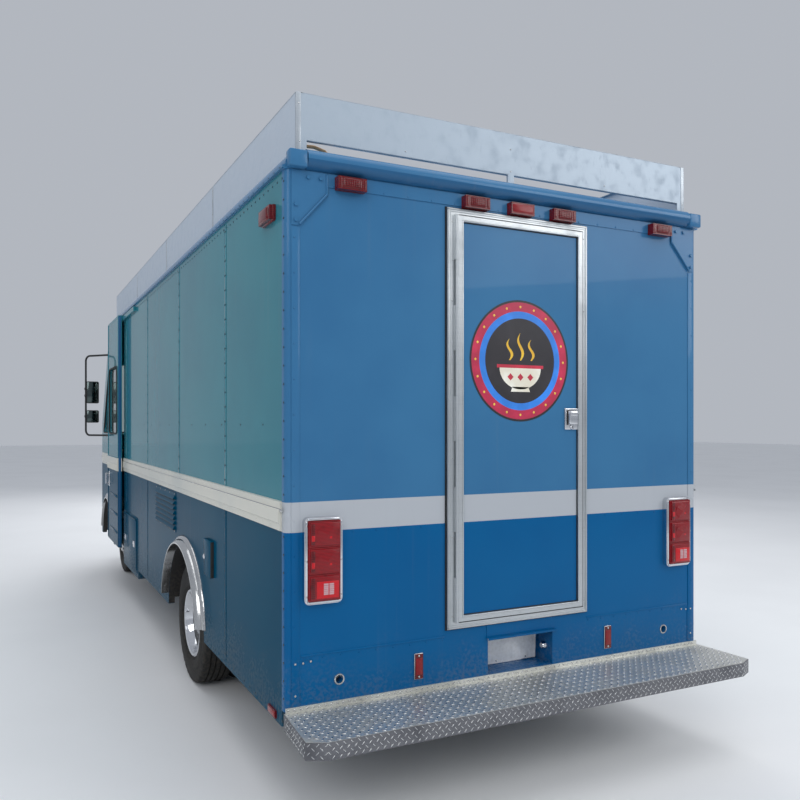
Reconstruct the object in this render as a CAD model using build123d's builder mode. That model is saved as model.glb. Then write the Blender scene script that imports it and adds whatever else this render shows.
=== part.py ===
"""Walk-in step van fitted out as a food truck, built as separate pieces in one frame.

Millimetres. +X is the right-hand (kerb) side, +Y is forward, +Z is up. The origin lies on the
ground under the middle of the vehicle's length and width.
"""

import os
from math import cos, radians, sin, sqrt

from build123d import *

os.makedirs("parts", exist_ok=True)

# Overall body
body_width = 2440
body_length = 6700
rear_bumper_depth = 335
front_bumper_reach = 100
wall = 45
skirt_z = 400
floor_top = 740
floor_thick = 60
gutter_z = 2790
roof_thick = 80
roof_edge_r = 60
fit_gap = 0.3

# Running gear
rear_overhang = 1935
front_overhang = 775
wheelbase = body_length - rear_overhang - front_overhang
tyre_r = 386
tyre_w = 215
bead_r = 203
dual_spacing = 250
rear_tyre_x = 0.8852 * body_width / 2
front_tyre_x = 0.7787 * body_width / 2
kingpin_x = front_tyre_x - 45
rear_arch_r = 525
front_arch_r = 470
rail_x = 0.3254 * body_width / 2
rail_w = 70
rail_h = 190
spring_x = 0.3934 * body_width / 2
spring_w = 62
steer_pin_r = 20
spindle_r = 32
rear_spindle_r = 40

# Doors and openings
cab_door_w = 770
cab_door_lap = 30
cab_door_gap = 25
cab_door_thick = 35
cab_door_bottom = 483
belt_z = 1240
belt_h = 130
belt_proud = 17
rear_door_frame_w = 842
rear_door_top = 2716
rear_door_gap = 5
hatch_start = 1350
hatch_to_doorway = 0.218 * wheelbase
hatch_sill = 1380
hatch_h = 1100
hatch_gap = 8

# Roof parapet
parapet_inset = 60
parapet_h = 268
sheet = 12

# Stations worked out from the sizes above
half = body_width / 2
half_in = half - wall
rear_y = -(rear_bumper_depth + body_length + front_bumper_reach) / 2 + rear_bumper_depth
rear_in = rear_y + wall
nose_y = rear_y + body_length
rear_axle_y = rear_y + rear_overhang
front_axle_y = rear_axle_y + wheelbase
floor_z = floor_top - floor_thick
roof_top = gutter_z + roof_thick
parapet_top = roof_top + parapet_h
door_front = front_axle_y - front_arch_r - 45
door_rear = door_front - cab_door_w
doorway_front = door_front - cab_door_lap
doorway_rear = door_rear + cab_door_lap
sides = (("left", -1), ("right", 1))


def block(x, y, z, mode=Mode.ADD):
    """Block between two limits along each axis."""
    spans = [sorted(pair) for pair in (x, y, z)]
    with Locations(tuple(sum(pair) / 2 for pair in spans)):
        Box(*[pair[1] - pair[0] for pair in spans], mode=mode)


def outline(points):
    """Closed face through the given points of the current sketch."""
    Polygon(*points, align=None)


def across(x):
    """Plane facing +X at x; its sketch axes are Y and Z."""
    return Plane.YZ.offset(x)


def along(y):
    """Plane facing -Y at y; its sketch axes are X and Z."""
    return Plane.XZ.offset(-y)


def axle_plane(x, y):
    """Plane through an axle's line; its sketch axes are X and the radius."""
    return Plane(origin=(x, y, tyre_r), x_dir=(1, 0, 0), z_dir=(0, -1, 0))


def axle_line(y):
    """Axis of the wheels whose axle stands at y."""
    return Axis((0, y, tyre_r), (1, 0, 0))


def save(builder, name):
    """Names a finished piece and writes its file."""
    builder.part.label = name
    export_step(builder.part, f"parts/{name}.step")


# Chassis frame: two channel rails and the cross members between them
rail_in = rail_x - rail_w / 2
rail_out = rail_x + rail_w / 2
rail_bottom = floor_z - rail_h
rail_web = 8
rail_rear = rear_y + 122
rail_front = nose_y - wall - 20
cross_shares = (0.02, 0.17, 0.42, 0.63, 0.98)
with BuildPart() as chassis_frame:
    with BuildSketch(along(rail_front)):
        with Locations((rail_x, floor_z - rail_h / 2), (-rail_x, floor_z - rail_h / 2)):
            Rectangle(rail_w, rail_h)
        shift = rail_x - rail_web
        with Locations((shift, floor_z - rail_h / 2), (-shift, floor_z - rail_h / 2)):
            Rectangle(rail_w, rail_h - 2 * rail_web, mode=Mode.SUBTRACT)
    extrude(amount=rail_front - rail_rear)
    for share in cross_shares:
        tip = rail_out - rail_web - fit_gap
        station = rail_rear + share * (rail_front - rail_rear)
        block((-tip, tip), (station - 30, station + 30), (floor_z - 130, floor_z - 20))
save(chassis_frame, "chassis_frame")

# Front axle: dropped beam with a bored boss at each end
boss_r = 38
boss_h = 110
beam_h = 80
beam_drop = 86
with BuildPart() as front_axle:
    with BuildSketch(along(front_axle_y + 35)):
        top = tyre_r + beam_h / 2
        low = top - beam_drop
        bend = kingpin_x - 205
        flat = kingpin_x - 315
        outline([
            (-kingpin_x, top), (-bend, top), (-flat, low), (flat, low), (bend, top), (kingpin_x, top),
            (kingpin_x, top - beam_h), (bend, top - beam_h), (flat, low - beam_h),
            (-flat, low - beam_h), (-bend, top - beam_h), (-kingpin_x, top - beam_h),
        ])
    extrude(amount=70)
    for name, side in sides:
        with Locations((side * kingpin_x, front_axle_y, tyre_r)):
            Cylinder(boss_r, boss_h)
            Cylinder(steer_pin_r + fit_gap, boss_h * 2, mode=Mode.SUBTRACT)
save(front_axle, "front_axle")

# Steering knuckles: forked round the axle boss, with the pin and the wheel spindle
ear = 26
fork_x = 42
fork_t = 20
hub_start = fork_x + fork_t + 4
disc_reach = dual_spacing / 2
spindle_tip = front_tyre_x - kingpin_x + disc_reach + 12
for name, side in sides:
    with BuildPart() as knuckle:
        for level in (1, -1):
            mid = tyre_r + level * (boss_h / 2 + 0.5 + ear / 2)
            with Locations((side * kingpin_x, front_axle_y, mid)):
                Cylinder(boss_r, ear)
            block(
                (side * kingpin_x, side * (kingpin_x + fork_x + fork_t)),
                (front_axle_y - boss_r, front_axle_y + boss_r),
                (mid - ear / 2, mid + ear / 2),
            )
        with Locations((side * kingpin_x, front_axle_y, tyre_r)):
            Cylinder(steer_pin_r, boss_h + 2 * ear)
        block(
            (side * (kingpin_x + fork_x), side * (kingpin_x + fork_x + fork_t)),
            (front_axle_y - boss_r, front_axle_y + boss_r),
            (tyre_r - boss_h / 2 - ear, tyre_r + boss_h / 2 + ear),
        )
        with BuildSketch(across(side * (kingpin_x + fork_x + fork_t))):
            with Locations((front_axle_y, tyre_r)):
                Circle(spindle_r)
        extrude(amount=side * (spindle_tip - fork_x - fork_t))
    save(knuckle, f"knuckle_{name}")

# Rear axle: tube, differential, spindles and the drive shaft with its yoke
axle_tube_r = 60
hub_in = rear_tyre_x - dual_spacing - tyre_w / 2 + 16
shaft_front = front_axle_y - 1210
with BuildPart() as rear_axle:
    with BuildSketch(axle_plane(0, rear_axle_y)):
        outline([
            (-hub_in + 4, 0), (-hub_in + 4, axle_tube_r), (-190, axle_tube_r), (-110, 165),
            (110, 165), (190, axle_tube_r), (hub_in - 4, axle_tube_r), (hub_in - 4, 0),
        ])
    revolve(axis=axle_line(rear_axle_y))
    with BuildSketch(axle_plane(0, rear_axle_y)):
        Rectangle(2 * (rear_tyre_x + 25), rear_spindle_r, align=(Align.CENTER, Align.MIN))
    revolve(axis=axle_line(rear_axle_y))
    with BuildSketch(along(shaft_front)):
        with Locations((0, tyre_r + 30)):
            Circle(42)
    extrude(amount=shaft_front - rear_axle_y)
    with BuildSketch(along(rear_axle_y + 300)):
        with Locations((0, tyre_r + 30)):
            Circle(70)
    extrude(amount=200)
save(rear_axle, "rear_axle")

# Leaf springs: bowed packs on the axles, with hangers that reach the rails
leaf_thick = 14
leaf_rows = ((640, 0), (470, 1), (300, 2))
bow_r = 2600
spring_rows = ((rear_axle_y, tyre_r + axle_tube_r), (front_axle_y, tyre_r + beam_h / 2 - beam_drop))
with BuildPart() as leaf_springs:
    for axle_y, seat in spring_rows:
        for name, side in sides:
            x = side * spring_x
            for reach, row in leaf_rows:
                inner = bow_r - (len(leaf_rows) - row) * leaf_thick
                with BuildSketch(across(x - spring_w / 2)):
                    with Locations((axle_y, seat + bow_r)):
                        Circle(inner + leaf_thick)
                        Circle(inner, mode=Mode.SUBTRACT)
                    with Locations((axle_y, seat + 150)):
                        Rectangle(2 * reach, 300, mode=Mode.INTERSECT)
                extrude(amount=spring_w)
            for end in (-1, 1):
                eye_y = axle_y + end * (leaf_rows[0][0] - 25)
                eye_z = seat + bow_r - sqrt((bow_r - 3 * leaf_thick) ** 2 - (eye_y - axle_y) ** 2)
                block(
                    (x - side * 48, x + side * spring_w / 2), (eye_y - 25, eye_y + 25),
                    (eye_z - 24, rail_bottom + 90),
                )
    block((-rail_out, rail_out), (2 * rear_y, 2 * nose_y), (0, gutter_z), mode=Mode.SUBTRACT)
save(leaf_springs, "leaf_springs")

# Engine and gearbox, one plain block each, joined
pipe_x = -(rail_in - 122)
gearbox_half = -pipe_x - 80
engine_half = rail_in - 72
engine_rear = front_axle_y - 480
engine_front = front_axle_y + 420
engine_top = 1050
with BuildPart() as engine_block:
    block((-engine_half, engine_half), (engine_rear, engine_front), (tyre_r + 70, engine_top))
    block((-gearbox_half, gearbox_half), (shaft_front, engine_rear), (tyre_r - 40, floor_z - 25))
    for name, side in sides:
        foot = rail_bottom + rail_web
        block(
            (side * engine_half, side * rail_x), (front_axle_y - 60, front_axle_y + 60), (foot, foot + 60)
        )
save(engine_block, "engine_block")

# Fuel tank between the right rail and the skirt, with its straps
tank_x = (rail_out + 88, half_in - 135)
tank_h = 250
tank_y = (rear_axle_y + doorway_rear) / 2
tank_length = 0.32 * (doorway_rear - rear_axle_y)
strap_proud = 4
with BuildPart() as fuel_tank:
    with BuildSketch(along(tank_y + tank_length / 2)):
        with Locations((sum(tank_x) / 2, floor_z - tank_h / 2)):
            RectangleRounded(tank_x[1] - tank_x[0], tank_h, 60)
    extrude(amount=tank_length)
    for end in (-1, 1):
        with BuildSketch(along(tank_y + 25 + end * tank_length / 4)):
            with Locations((sum(tank_x) / 2, floor_z - tank_h / 2)):
                RectangleRounded(tank_x[1] - tank_x[0] + 2 * strap_proud, tank_h, 60)
        extrude(amount=50)
save(fuel_tank, "fuel_tank")

# Exhaust: pipe and silencer inside the left rail, turned out behind the rear wheels
pipe_z = rail_bottom - 40
pipe_r = 30
with BuildPart() as exhaust_system:
    with BuildLine() as run:
        Polyline(
            (pipe_x, engine_rear, pipe_z), (pipe_x, rear_axle_y + 950, pipe_z),
            (-half + 160, rear_axle_y + 740, pipe_z - 30),
        )
        fillet(run.vertices().sort_by(Axis.Y)[1], 120)
    with BuildSketch(along(engine_rear)):
        with Locations((pipe_x, pipe_z)):
            Circle(pipe_r)
    sweep(path=run.wires()[0])
    with BuildSketch(along(rear_axle_y + 1960)):
        with Locations((pipe_x, pipe_z)):
            Ellipse(95, 72)
    extrude(amount=780)
save(exhaust_system, "exhaust_system")

# Wheels
rim_half = 76.5
rim_wall = 9
flange_t = 8
hand_holes = 8


def rim_section(centre, disc_side):
    """Rim barrel with flanges and the dished disc that leans to one side of it."""
    b, r = rim_half, bead_r
    d = disc_side
    outline([
        (centre - b - flange_t, r - rim_wall), (centre - b - flange_t, r + 15), (centre - b, r + 15),
        (centre - b, r), (centre + b, r), (centre + b, r + 15), (centre + b + flange_t, r + 15),
        (centre + b + flange_t, r - rim_wall),
    ])
    outline([
        (centre + d * 40, r - rim_wall + 1), (centre + d * 56, r - rim_wall + 1),
        (centre + d * (disc_reach - 6), r - 58), (centre + d * disc_reach, r - 75),
        (centre + d * disc_reach, 40), (centre + d * (disc_reach - 12), 40),
        (centre + d * (disc_reach - 12), r - 80), (centre + d * (disc_reach - 20), r - 66),
    ])


def round_bar(x0, x1, y, radius, mode=Mode.ADD):
    """Cylinder along X on an axle's line."""
    with Locations(Location(((x0 + x1) / 2, y, tyre_r), (0, 90, 0))):
        Cylinder(radius, abs(x1 - x0), mode=mode)


for name, side in sides:
    with BuildPart() as front_rim:
        with BuildSketch(axle_plane(0, front_axle_y)):
            rim_section(side * front_tyre_x, side)
        revolve(axis=axle_line(front_axle_y))
        hub_x = kingpin_x + hub_start
        tip_x = kingpin_x + spindle_tip
        round_bar(side * hub_x, side * (tip_x + 22), front_axle_y, 62)
        bore = spindle_r + fit_gap
        round_bar(side * (hub_x - 20), side * (tip_x + 2), front_axle_y, bore, mode=Mode.SUBTRACT)
        with BuildSketch(across(side * (front_tyre_x + 40))):
            with Locations((front_axle_y, tyre_r)):
                with PolarLocations(bead_r - 42, hand_holes):
                    Circle(19)
        extrude(amount=side * 100, mode=Mode.SUBTRACT)
    save(front_rim, f"front_rim_{name}")
    twin_x = rear_tyre_x - dual_spacing
    with BuildPart() as rear_rims:
        with BuildSketch(axle_plane(0, rear_axle_y)):
            rim_section(side * rear_tyre_x, -side)
            rim_section(side * twin_x, side)
        revolve(axis=axle_line(rear_axle_y))
        round_bar(side * hub_in, side * (rear_tyre_x + 50), rear_axle_y, 76)
        bore = rear_spindle_r + fit_gap
        round_bar(side * (hub_in - 20), side * (rear_tyre_x + 27), rear_axle_y, bore, mode=Mode.SUBTRACT)
        with BuildSketch(across(side * (twin_x + 40))):
            with Locations((rear_axle_y, tyre_r)):
                with PolarLocations(bead_r - 42, hand_holes):
                    Circle(19)
        extrude(amount=side * 170, mode=Mode.SUBTRACT)
    save(rear_rims, f"rear_rims_{name}")

tyre_rows = (
    ("front_tyre", front_axle_y, (front_tyre_x,)),
    ("rear_tyres", rear_axle_y, (rear_tyre_x, twin_x)),
)
bead_half = rim_half - 0.5
bead_in = bead_r + 0.5
tyre_half = tyre_w / 2
for node, axle_y, centres in tyre_rows:
    for name, side in sides:
        with BuildPart() as tyre:
            for centre in centres:
                c = side * centre
                with BuildSketch(axle_plane(0, axle_y)):
                    with BuildLine():
                        Polyline(
                            (c - bead_half, bead_in + 18), (c - bead_half, bead_in),
                            (c + bead_half, bead_in), (c + bead_half, bead_in + 18),
                        )
                        Line((c + tyre_half - 26, tyre_r), (c - tyre_half + 26, tyre_r))
                        for d in (1, -1):
                            ThreePointArc(
                                (c + d * bead_half, bead_in + 18), (c + d * tyre_half, bead_in + 92),
                                (c + d * (tyre_half - 9), tyre_r - 16),
                            )
                            ThreePointArc(
                                (c + d * (tyre_half - 9), tyre_r - 16),
                                (c + d * (tyre_half - 14), tyre_r - 5), (c + d * (tyre_half - 26), tyre_r),
                            )
                    make_face()
                revolve(axis=axle_line(axle_y))
        save(tyre, f"{node}_{name}")

# Cab shell: side profile, plan and cross section cut from one another, twice
shell_rear = doorway_front
lead = 200
screen_foot = (nose_y - 70, 1500)
screen_lean = 630 / 980
screen_head = (screen_foot[0] - (roof_top - screen_foot[1]) * screen_lean, roof_top)
brow_r = 220
corner_r = 220


def cab_profile():
    """Side profile of the cab, carried back and down past the shell's open edges."""
    outline([
        (shell_rear - lead, 200), (nose_y, 200), (nose_y, 900), screen_foot, screen_head,
        (shell_rear - lead, roof_top),
    ])


with BuildPart() as cab_outer:
    with BuildSketch(across(-half)) as profile:
        cab_profile()
        fillet(profile.vertices().sort_by(Axis.Y).sort_by(Axis.Z)[-1], brow_r)
    extrude(amount=body_width)
    with BuildSketch(Plane.XY.offset(200)) as plan:
        with Locations((0, (shell_rear - lead + nose_y) / 2)):
            Rectangle(body_width, nose_y - shell_rear + lead)
        fillet(plan.vertices().group_by(Axis.Y)[-1], corner_r)
    extrude(amount=roof_top, mode=Mode.INTERSECT)
    with BuildSketch(along(nose_y)) as section:
        with Locations((0, (roof_top + 200) / 2)):
            Rectangle(body_width, roof_top - 200)
        fillet(section.vertices().group_by(Axis.Y)[-1], roof_edge_r)
    extrude(amount=nose_y - shell_rear + lead, mode=Mode.INTERSECT)

with BuildPart() as cab_inner:
    with BuildSketch(across(-half_in)) as profile:
        cab_profile()
        offset(amount=-wall, kind=Kind.INTERSECTION, mode=Mode.REPLACE)
    extrude(amount=2 * half_in)
    with BuildSketch(Plane.XY.offset(200)) as plan:
        with Locations((0, (shell_rear - lead + nose_y - wall) / 2)):
            Rectangle(2 * half_in, nose_y - wall - shell_rear + lead)
        fillet(plan.vertices().group_by(Axis.Y)[-1], corner_r - wall)
    extrude(amount=roof_top, mode=Mode.INTERSECT)

screen_z = 2000
screen_at = screen_foot[0] - (screen_z - screen_foot[1]) * screen_lean
screen_plane = Plane(origin=(0, screen_at, screen_z), x_dir=(-1, 0, 0), z_dir=(0, 1, screen_lean))
pane_low = -470
pane_high = 500
pane_x = (32, half - 135)
pane_r = 60
fascia_y = front_axle_y + front_arch_r + 20
cowl_z = screen_foot[1]
quarter = (
    (door_front + 70, cowl_z + 110), (screen_foot[0] - 320, cowl_z + 110),
    (screen_foot[0] - 320 - 800 * screen_lean, cowl_z + 910), (door_front + 70, cowl_z + 910),
)


def pane_outlines(shrink):
    """The two windscreen panes side by side, each drawn in by the given amount."""
    mid_x = (pane_x[0] + pane_x[1]) / 2
    mid_y = (pane_low + pane_high) / 2
    with Locations((mid_x, mid_y), (-mid_x, mid_y)):
        RectangleRounded(
            pane_x[1] - pane_x[0] - 2 * shrink, pane_high - pane_low - 2 * shrink, pane_r
        )


with BuildPart() as cab_upper:
    add(cab_outer.part)
    add(cab_inner.part, mode=Mode.SUBTRACT)
    block((-half, half), (shell_rear, nose_y), (cowl_z, roof_top), mode=Mode.INTERSECT)
    with BuildSketch(screen_plane):
        pane_outlines(0)
    extrude(amount=130, both=True, mode=Mode.SUBTRACT)
    with BuildSketch(across(-half)) as side_pane:
        outline(quarter)
        fillet(side_pane.vertices(), 50)
    extrude(amount=body_width, mode=Mode.SUBTRACT)
save(cab_upper, "cab_upper")

with BuildPart() as cab_glass:
    with BuildSketch(screen_plane.offset(-25)):
        pane_outlines(fit_gap)
    extrude(amount=6)
    with BuildSketch(across(-half + 18)) as left_pane:
        outline(quarter)
        fillet(left_pane.vertices(), 50)
        offset(amount=-fit_gap, mode=Mode.REPLACE)
    extrude(amount=6)
    with BuildSketch(across(half - 24)) as right_pane:
        outline(quarter)
        fillet(right_pane.vertices(), 50)
        offset(amount=-fit_gap, mode=Mode.REPLACE)
    extrude(amount=6)
save(cab_glass, "cab_glass")

for name, side in sides:
    with BuildPart() as cab_side:
        add(cab_outer.part)
        add(cab_inner.part, mode=Mode.SUBTRACT)
        block((0, side * half), (shell_rear, fascia_y), (skirt_z, cowl_z), mode=Mode.INTERSECT)
        with BuildSketch(across(side * (half_in - 30))):
            with Locations((front_axle_y, tyre_r)):
                Circle(front_arch_r)
        extrude(amount=side * (wall + 60), mode=Mode.SUBTRACT)
    save(cab_side, f"cab_side_{name}")

grille_half = 470
grille_z = (630, 1010)
lamp_x = 790
lamp_z = 830
lamp_r = 92
with BuildPart() as front_fascia:
    add(cab_outer.part)
    add(cab_inner.part, mode=Mode.SUBTRACT)
    block((-half, half), (fascia_y, nose_y), (skirt_z, cowl_z), mode=Mode.INTERSECT)
    block((-grille_half, grille_half), (nose_y - 200, nose_y + 50), grille_z, mode=Mode.SUBTRACT)
    with BuildSketch(along(nose_y + 20)):
        with Locations((lamp_x, lamp_z), (-lamp_x, lamp_z)):
            Circle(lamp_r)
    extrude(amount=200, mode=Mode.SUBTRACT)
save(front_fascia, "front_fascia")

grille_bars = 7
with BuildPart() as grille:
    low, high = grille_z
    block((-grille_half, grille_half), (nose_y - wall + 2, nose_y - 4), (low, high))
    block(
        (-grille_half + 25, grille_half - 25), (nose_y - wall + 14, nose_y), (low + 25, high - 25),
        mode=Mode.SUBTRACT,
    )
    pitch = (high - low - 50) / grille_bars
    for row in range(grille_bars):
        bar_z = low + 25 + (row + 0.5) * pitch
        bar_half = grille_half - 20
        block((-bar_half, bar_half), (nose_y - wall + 10, nose_y - 6), (bar_z - 9, bar_z + 9))
save(grille, "grille")

with BuildPart() as headlamps:
    for name, side in sides:
        with BuildSketch(along(nose_y + 12)):
            with Locations((side * lamp_x, lamp_z)):
                Circle(lamp_r - fit_gap)
        extrude(amount=12 + wall)
save(headlamps, "headlamps")

with BuildPart() as amber_lamps:
    for name, side in sides:
        lamp_span = (side * (lamp_x - 80), side * (lamp_x + 80))
        block(lamp_span, (nose_y, nose_y + 22), (lamp_z - 160, lamp_z - 104))
save(amber_lamps, "amber_lamps")

with BuildPart() as front_bumper:
    with BuildSketch(across(-half + 70)):
        outline([
            (nose_y, 480), (nose_y + 70, 480), (nose_y + front_bumper_reach, 510),
            (nose_y + front_bumper_reach, 630), (nose_y + 70, 660), (nose_y, 660), (nose_y, 652),
            (nose_y + 66, 652), (nose_y + front_bumper_reach - 8, 626),
            (nose_y + front_bumper_reach - 8, 514), (nose_y + 66, 488), (nose_y, 488),
        ])
    extrude(amount=body_width - 140)
save(front_bumper, "front_bumper")

# Floor with the engine opening, wheel wells and the two step wells
step_in = half - 320
step_z = 500
well_t = 14
rear_house = rear_tyre_x - dual_spacing - tyre_w / 2 - 10
front_house = kingpin_x - 305
arch_rows = ((rear_axle_y, rear_arch_r, rear_house), (front_axle_y, front_arch_r, front_house))
floor_front = fascia_y + 120
with BuildPart() as floor:
    with BuildSketch(Plane.XY.offset(floor_z)):
        outline([
            (-half_in, rear_in), (half_in, rear_in), (half_in, front_axle_y),
            (front_house - well_t - 2, front_axle_y), (front_house - well_t - 2, floor_front),
            (-front_house + well_t + 2, floor_front), (-front_house + well_t + 2, front_axle_y),
            (-half_in, front_axle_y),
        ])
    extrude(amount=floor_thick)
    block(
        (-engine_half - 40, engine_half + 40), (engine_rear - 30, floor_front + 10), (0, gutter_z),
        mode=Mode.SUBTRACT,
    )
    for name, side in sides:
        for axle_y, arch_r, house in arch_rows:
            with BuildSketch(across(side * (house - well_t))):
                with Locations((axle_y, tyre_r)):
                    Circle(arch_r + well_t)
            extrude(amount=side * 900, mode=Mode.SUBTRACT)
        step_x = (side * step_in, side * half)
        block(step_x, (doorway_rear, doorway_front), (0, gutter_z), mode=Mode.SUBTRACT)
save(floor, "floor")

with BuildPart() as wells:
    for name, side in sides:
        for axle_y, arch_r, house in arch_rows:
            with BuildSketch(across(side * house)):
                with Locations((axle_y, tyre_r)):
                    Circle(arch_r + well_t - fit_gap)
                    Circle(arch_r, mode=Mode.SUBTRACT)
                with Locations((axle_y, tyre_r + 60 + arch_r)):
                    Rectangle(4 * arch_r, 2 * arch_r, mode=Mode.INTERSECT)
            extrude(amount=side * (half_in - house))
            with BuildSketch(across(side * (house - well_t + fit_gap))):
                with Locations((axle_y, tyre_r)):
                    Circle(arch_r + well_t - fit_gap)
                with Locations((axle_y, floor_z - 30 + arch_r)):
                    Rectangle(4 * arch_r, 2 * arch_r, mode=Mode.INTERSECT)
            extrude(amount=side * (well_t - fit_gap))
        block(
            (side * (step_in - well_t), side * half), (doorway_rear - well_t, doorway_front + well_t),
            (step_z - well_t, floor_z),
        )
        block(
            (side * step_in, side * (half + 1)), (doorway_rear, doorway_front), (step_z, floor_z + 1),
            mode=Mode.SUBTRACT,
        )
        lap = well_t + 1
        for jamb_y in ((doorway_rear - lap, doorway_rear), (doorway_front, doorway_front + lap)):
            block((side * half_in, side * (half + 1)), jamb_y, (0, gutter_z), mode=Mode.SUBTRACT)
save(wells, "wells")

# Side walls
lintel_z = 2700
vent_ahead = 275
vent_w = 710
vent_y = (rear_axle_y + vent_ahead, rear_axle_y + vent_ahead + vent_w)
vent_z = (950, 1226)
vent_slats = 7
box_rear = doorway_rear - hatch_to_doorway
box_top = 900
box_bottom = 324
hatch_rear = rear_y + hatch_start
hatch_front = doorway_rear - hatch_to_doorway
hatch_w = hatch_front - hatch_rear
hatch_top = hatch_sill + hatch_h


def wall_outline(foot):
    """Side wall with the lintel over the cab doorway, less the rear wheel arch."""
    outline([
        (rear_in, skirt_z), *foot, (doorway_rear, lintel_z), (doorway_front, lintel_z),
        (doorway_front, gutter_z), (rear_in, gutter_z),
    ])
    with Locations((rear_axle_y, tyre_r)):
        Circle(rear_arch_r, mode=Mode.SUBTRACT)


with BuildPart() as left_wall:
    with BuildSketch(across(-half)):
        wall_outline([(box_rear, skirt_z), (box_rear, box_top), (doorway_rear, box_top)])
    extrude(amount=wall)
save(left_wall, "left_wall")

with BuildPart() as side_vent:
    block((-half - 4, -half), vent_y, vent_z)
    pitch = (vent_z[1] - vent_z[0] - 30) / vent_slats
    for row in range(vent_slats):
        slat_z = vent_z[0] + 15 + row * pitch
        with BuildSketch(along(vent_y[1] - 20)):
            outline([
                (-half - 3, slat_z + 4), (-half - 17, slat_z + 4), (-half - 17, slat_z + 8),
                (-half - 3, slat_z + pitch - 2),
            ])
        extrude(amount=vent_y[1] - vent_y[0] - 40)
save(side_vent, "side_vent")

with BuildPart() as utility_box:
    with BuildSketch(along(doorway_rear)):
        outline([
            (-half, box_bottom), (-half + 420, box_bottom), (-half + 420, floor_z),
            (-half_in, floor_z), (-half_in, box_top), (-half, box_top),
        ])
    extrude(amount=doorway_rear - box_rear)
    block(
        (-half_in, -step_in + well_t), (doorway_rear - well_t, doorway_rear), (step_z - well_t, floor_z),
        mode=Mode.SUBTRACT,
    )
save(utility_box, "utility_box")

hinge_r = 6
hinge_x = half + hinge_r + 1
hinge_z = hatch_top - hatch_gap / 2
with BuildPart() as right_wall:
    with BuildSketch(across(half_in)):
        wall_outline([(doorway_rear, skirt_z)])
        with Locations(((hatch_rear + hatch_front) / 2, (hatch_sill + hatch_top) / 2)):
            Rectangle(hatch_w, hatch_h, mode=Mode.SUBTRACT)
    extrude(amount=wall)
    leaf_z = (hinge_z + hinge_r + fit_gap, hinge_z + 40)
    block((half, half + 9), (hatch_rear + 20, hatch_front - 20), leaf_z)
save(right_wall, "right_wall")

with BuildPart() as serving_hatch:
    block(
        (half_in + 3, half - 1), (hatch_rear + hatch_gap, hatch_front - hatch_gap),
        (hatch_sill + hatch_gap, hatch_top - hatch_gap),
    )
    block((half - 1, half + 3), (hatch_rear + 20, hatch_front - 20), (hinge_z - 45, hinge_z))
    with BuildSketch(along(hatch_front - 20)):
        with Locations((hinge_x, hinge_z)):
            Circle(hinge_r)
    extrude(amount=hatch_w - 40)
save(serving_hatch, "serving_hatch")

with BuildPart() as serving_counter:
    block((half_in - 300, half_in), (hatch_rear, hatch_front), (hatch_sill - 60, hatch_sill - 25))
    block((half_in - 300, half_in - 290), (hatch_rear, hatch_front), (hatch_sill - 110, hatch_sill - 25))
save(serving_counter, "serving_counter")

# Cab doors: outside the wall, hung by a lip over the top rail
track_z = (2735, 2775)
track_x = (half, half + 23)
door_in = half + cab_door_gap
door_out = door_in + cab_door_thick
pane_y = (door_rear + 95, door_front - 95)
door_pane_z = (1610, 2290)
track_run = 700
for name, side in sides:
    with BuildPart() as cab_door:
        door_x = (side * door_in, side * door_out)
        block(door_x, (door_rear, door_front), (cab_door_bottom, track_z[1] + 12))
        block(
            (side * (track_x[0] + 4), side * door_in), (door_rear + 30, door_front - 30),
            (track_z[1] + fit_gap, track_z[1] + 12),
        )
        with BuildSketch(across(side * door_in)):
            with Locations((sum(pane_y) / 2, sum(door_pane_z) / 2)):
                RectangleRounded(pane_y[1] - pane_y[0], door_pane_z[1] - door_pane_z[0], 60)
        extrude(amount=side * cab_door_thick, mode=Mode.SUBTRACT)
        strip_x = (side * door_out, side * (door_out + 12))
        block(strip_x, (door_rear + 4, door_front - 4), (belt_z, belt_z + belt_h))
    save(cab_door, f"cab_door_{name}")
    with BuildPart() as cab_door_glass:
        with BuildSketch(across(side * (door_in + 12))):
            with Locations((sum(pane_y) / 2, sum(door_pane_z) / 2)):
                RectangleRounded(
                    pane_y[1] - pane_y[0] - 2 * fit_gap, door_pane_z[1] - door_pane_z[0] - 2 * fit_gap, 60
                )
        extrude(amount=side * 6)
    save(cab_door_glass, f"cab_door_glass_{name}")

with BuildPart() as side_rails:
    for name, side in sides:
        step = belt_h / 4
        for start, end in ((rear_in, doorway_rear), (doorway_front, front_axle_y + front_arch_r)):
            with BuildSketch(along(end)):
                outline([
                    (side * half, belt_z), (side * (half + 10), belt_z + 3),
                    (side * (half + 10), belt_z + step),
                    (side * (half + belt_proud), belt_z + step + 6),
                    (side * (half + belt_proud), belt_z + belt_h - step - 6),
                    (side * (half + 10), belt_z + belt_h - step), (side * (half + 10), belt_z + belt_h - 3),
                    (side * half, belt_z + belt_h),
                ])
            extrude(amount=end - start)
        block((side * track_x[0], side * track_x[1]), (door_rear - track_run, door_front), track_z)
save(side_rails, "side_rails")

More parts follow.
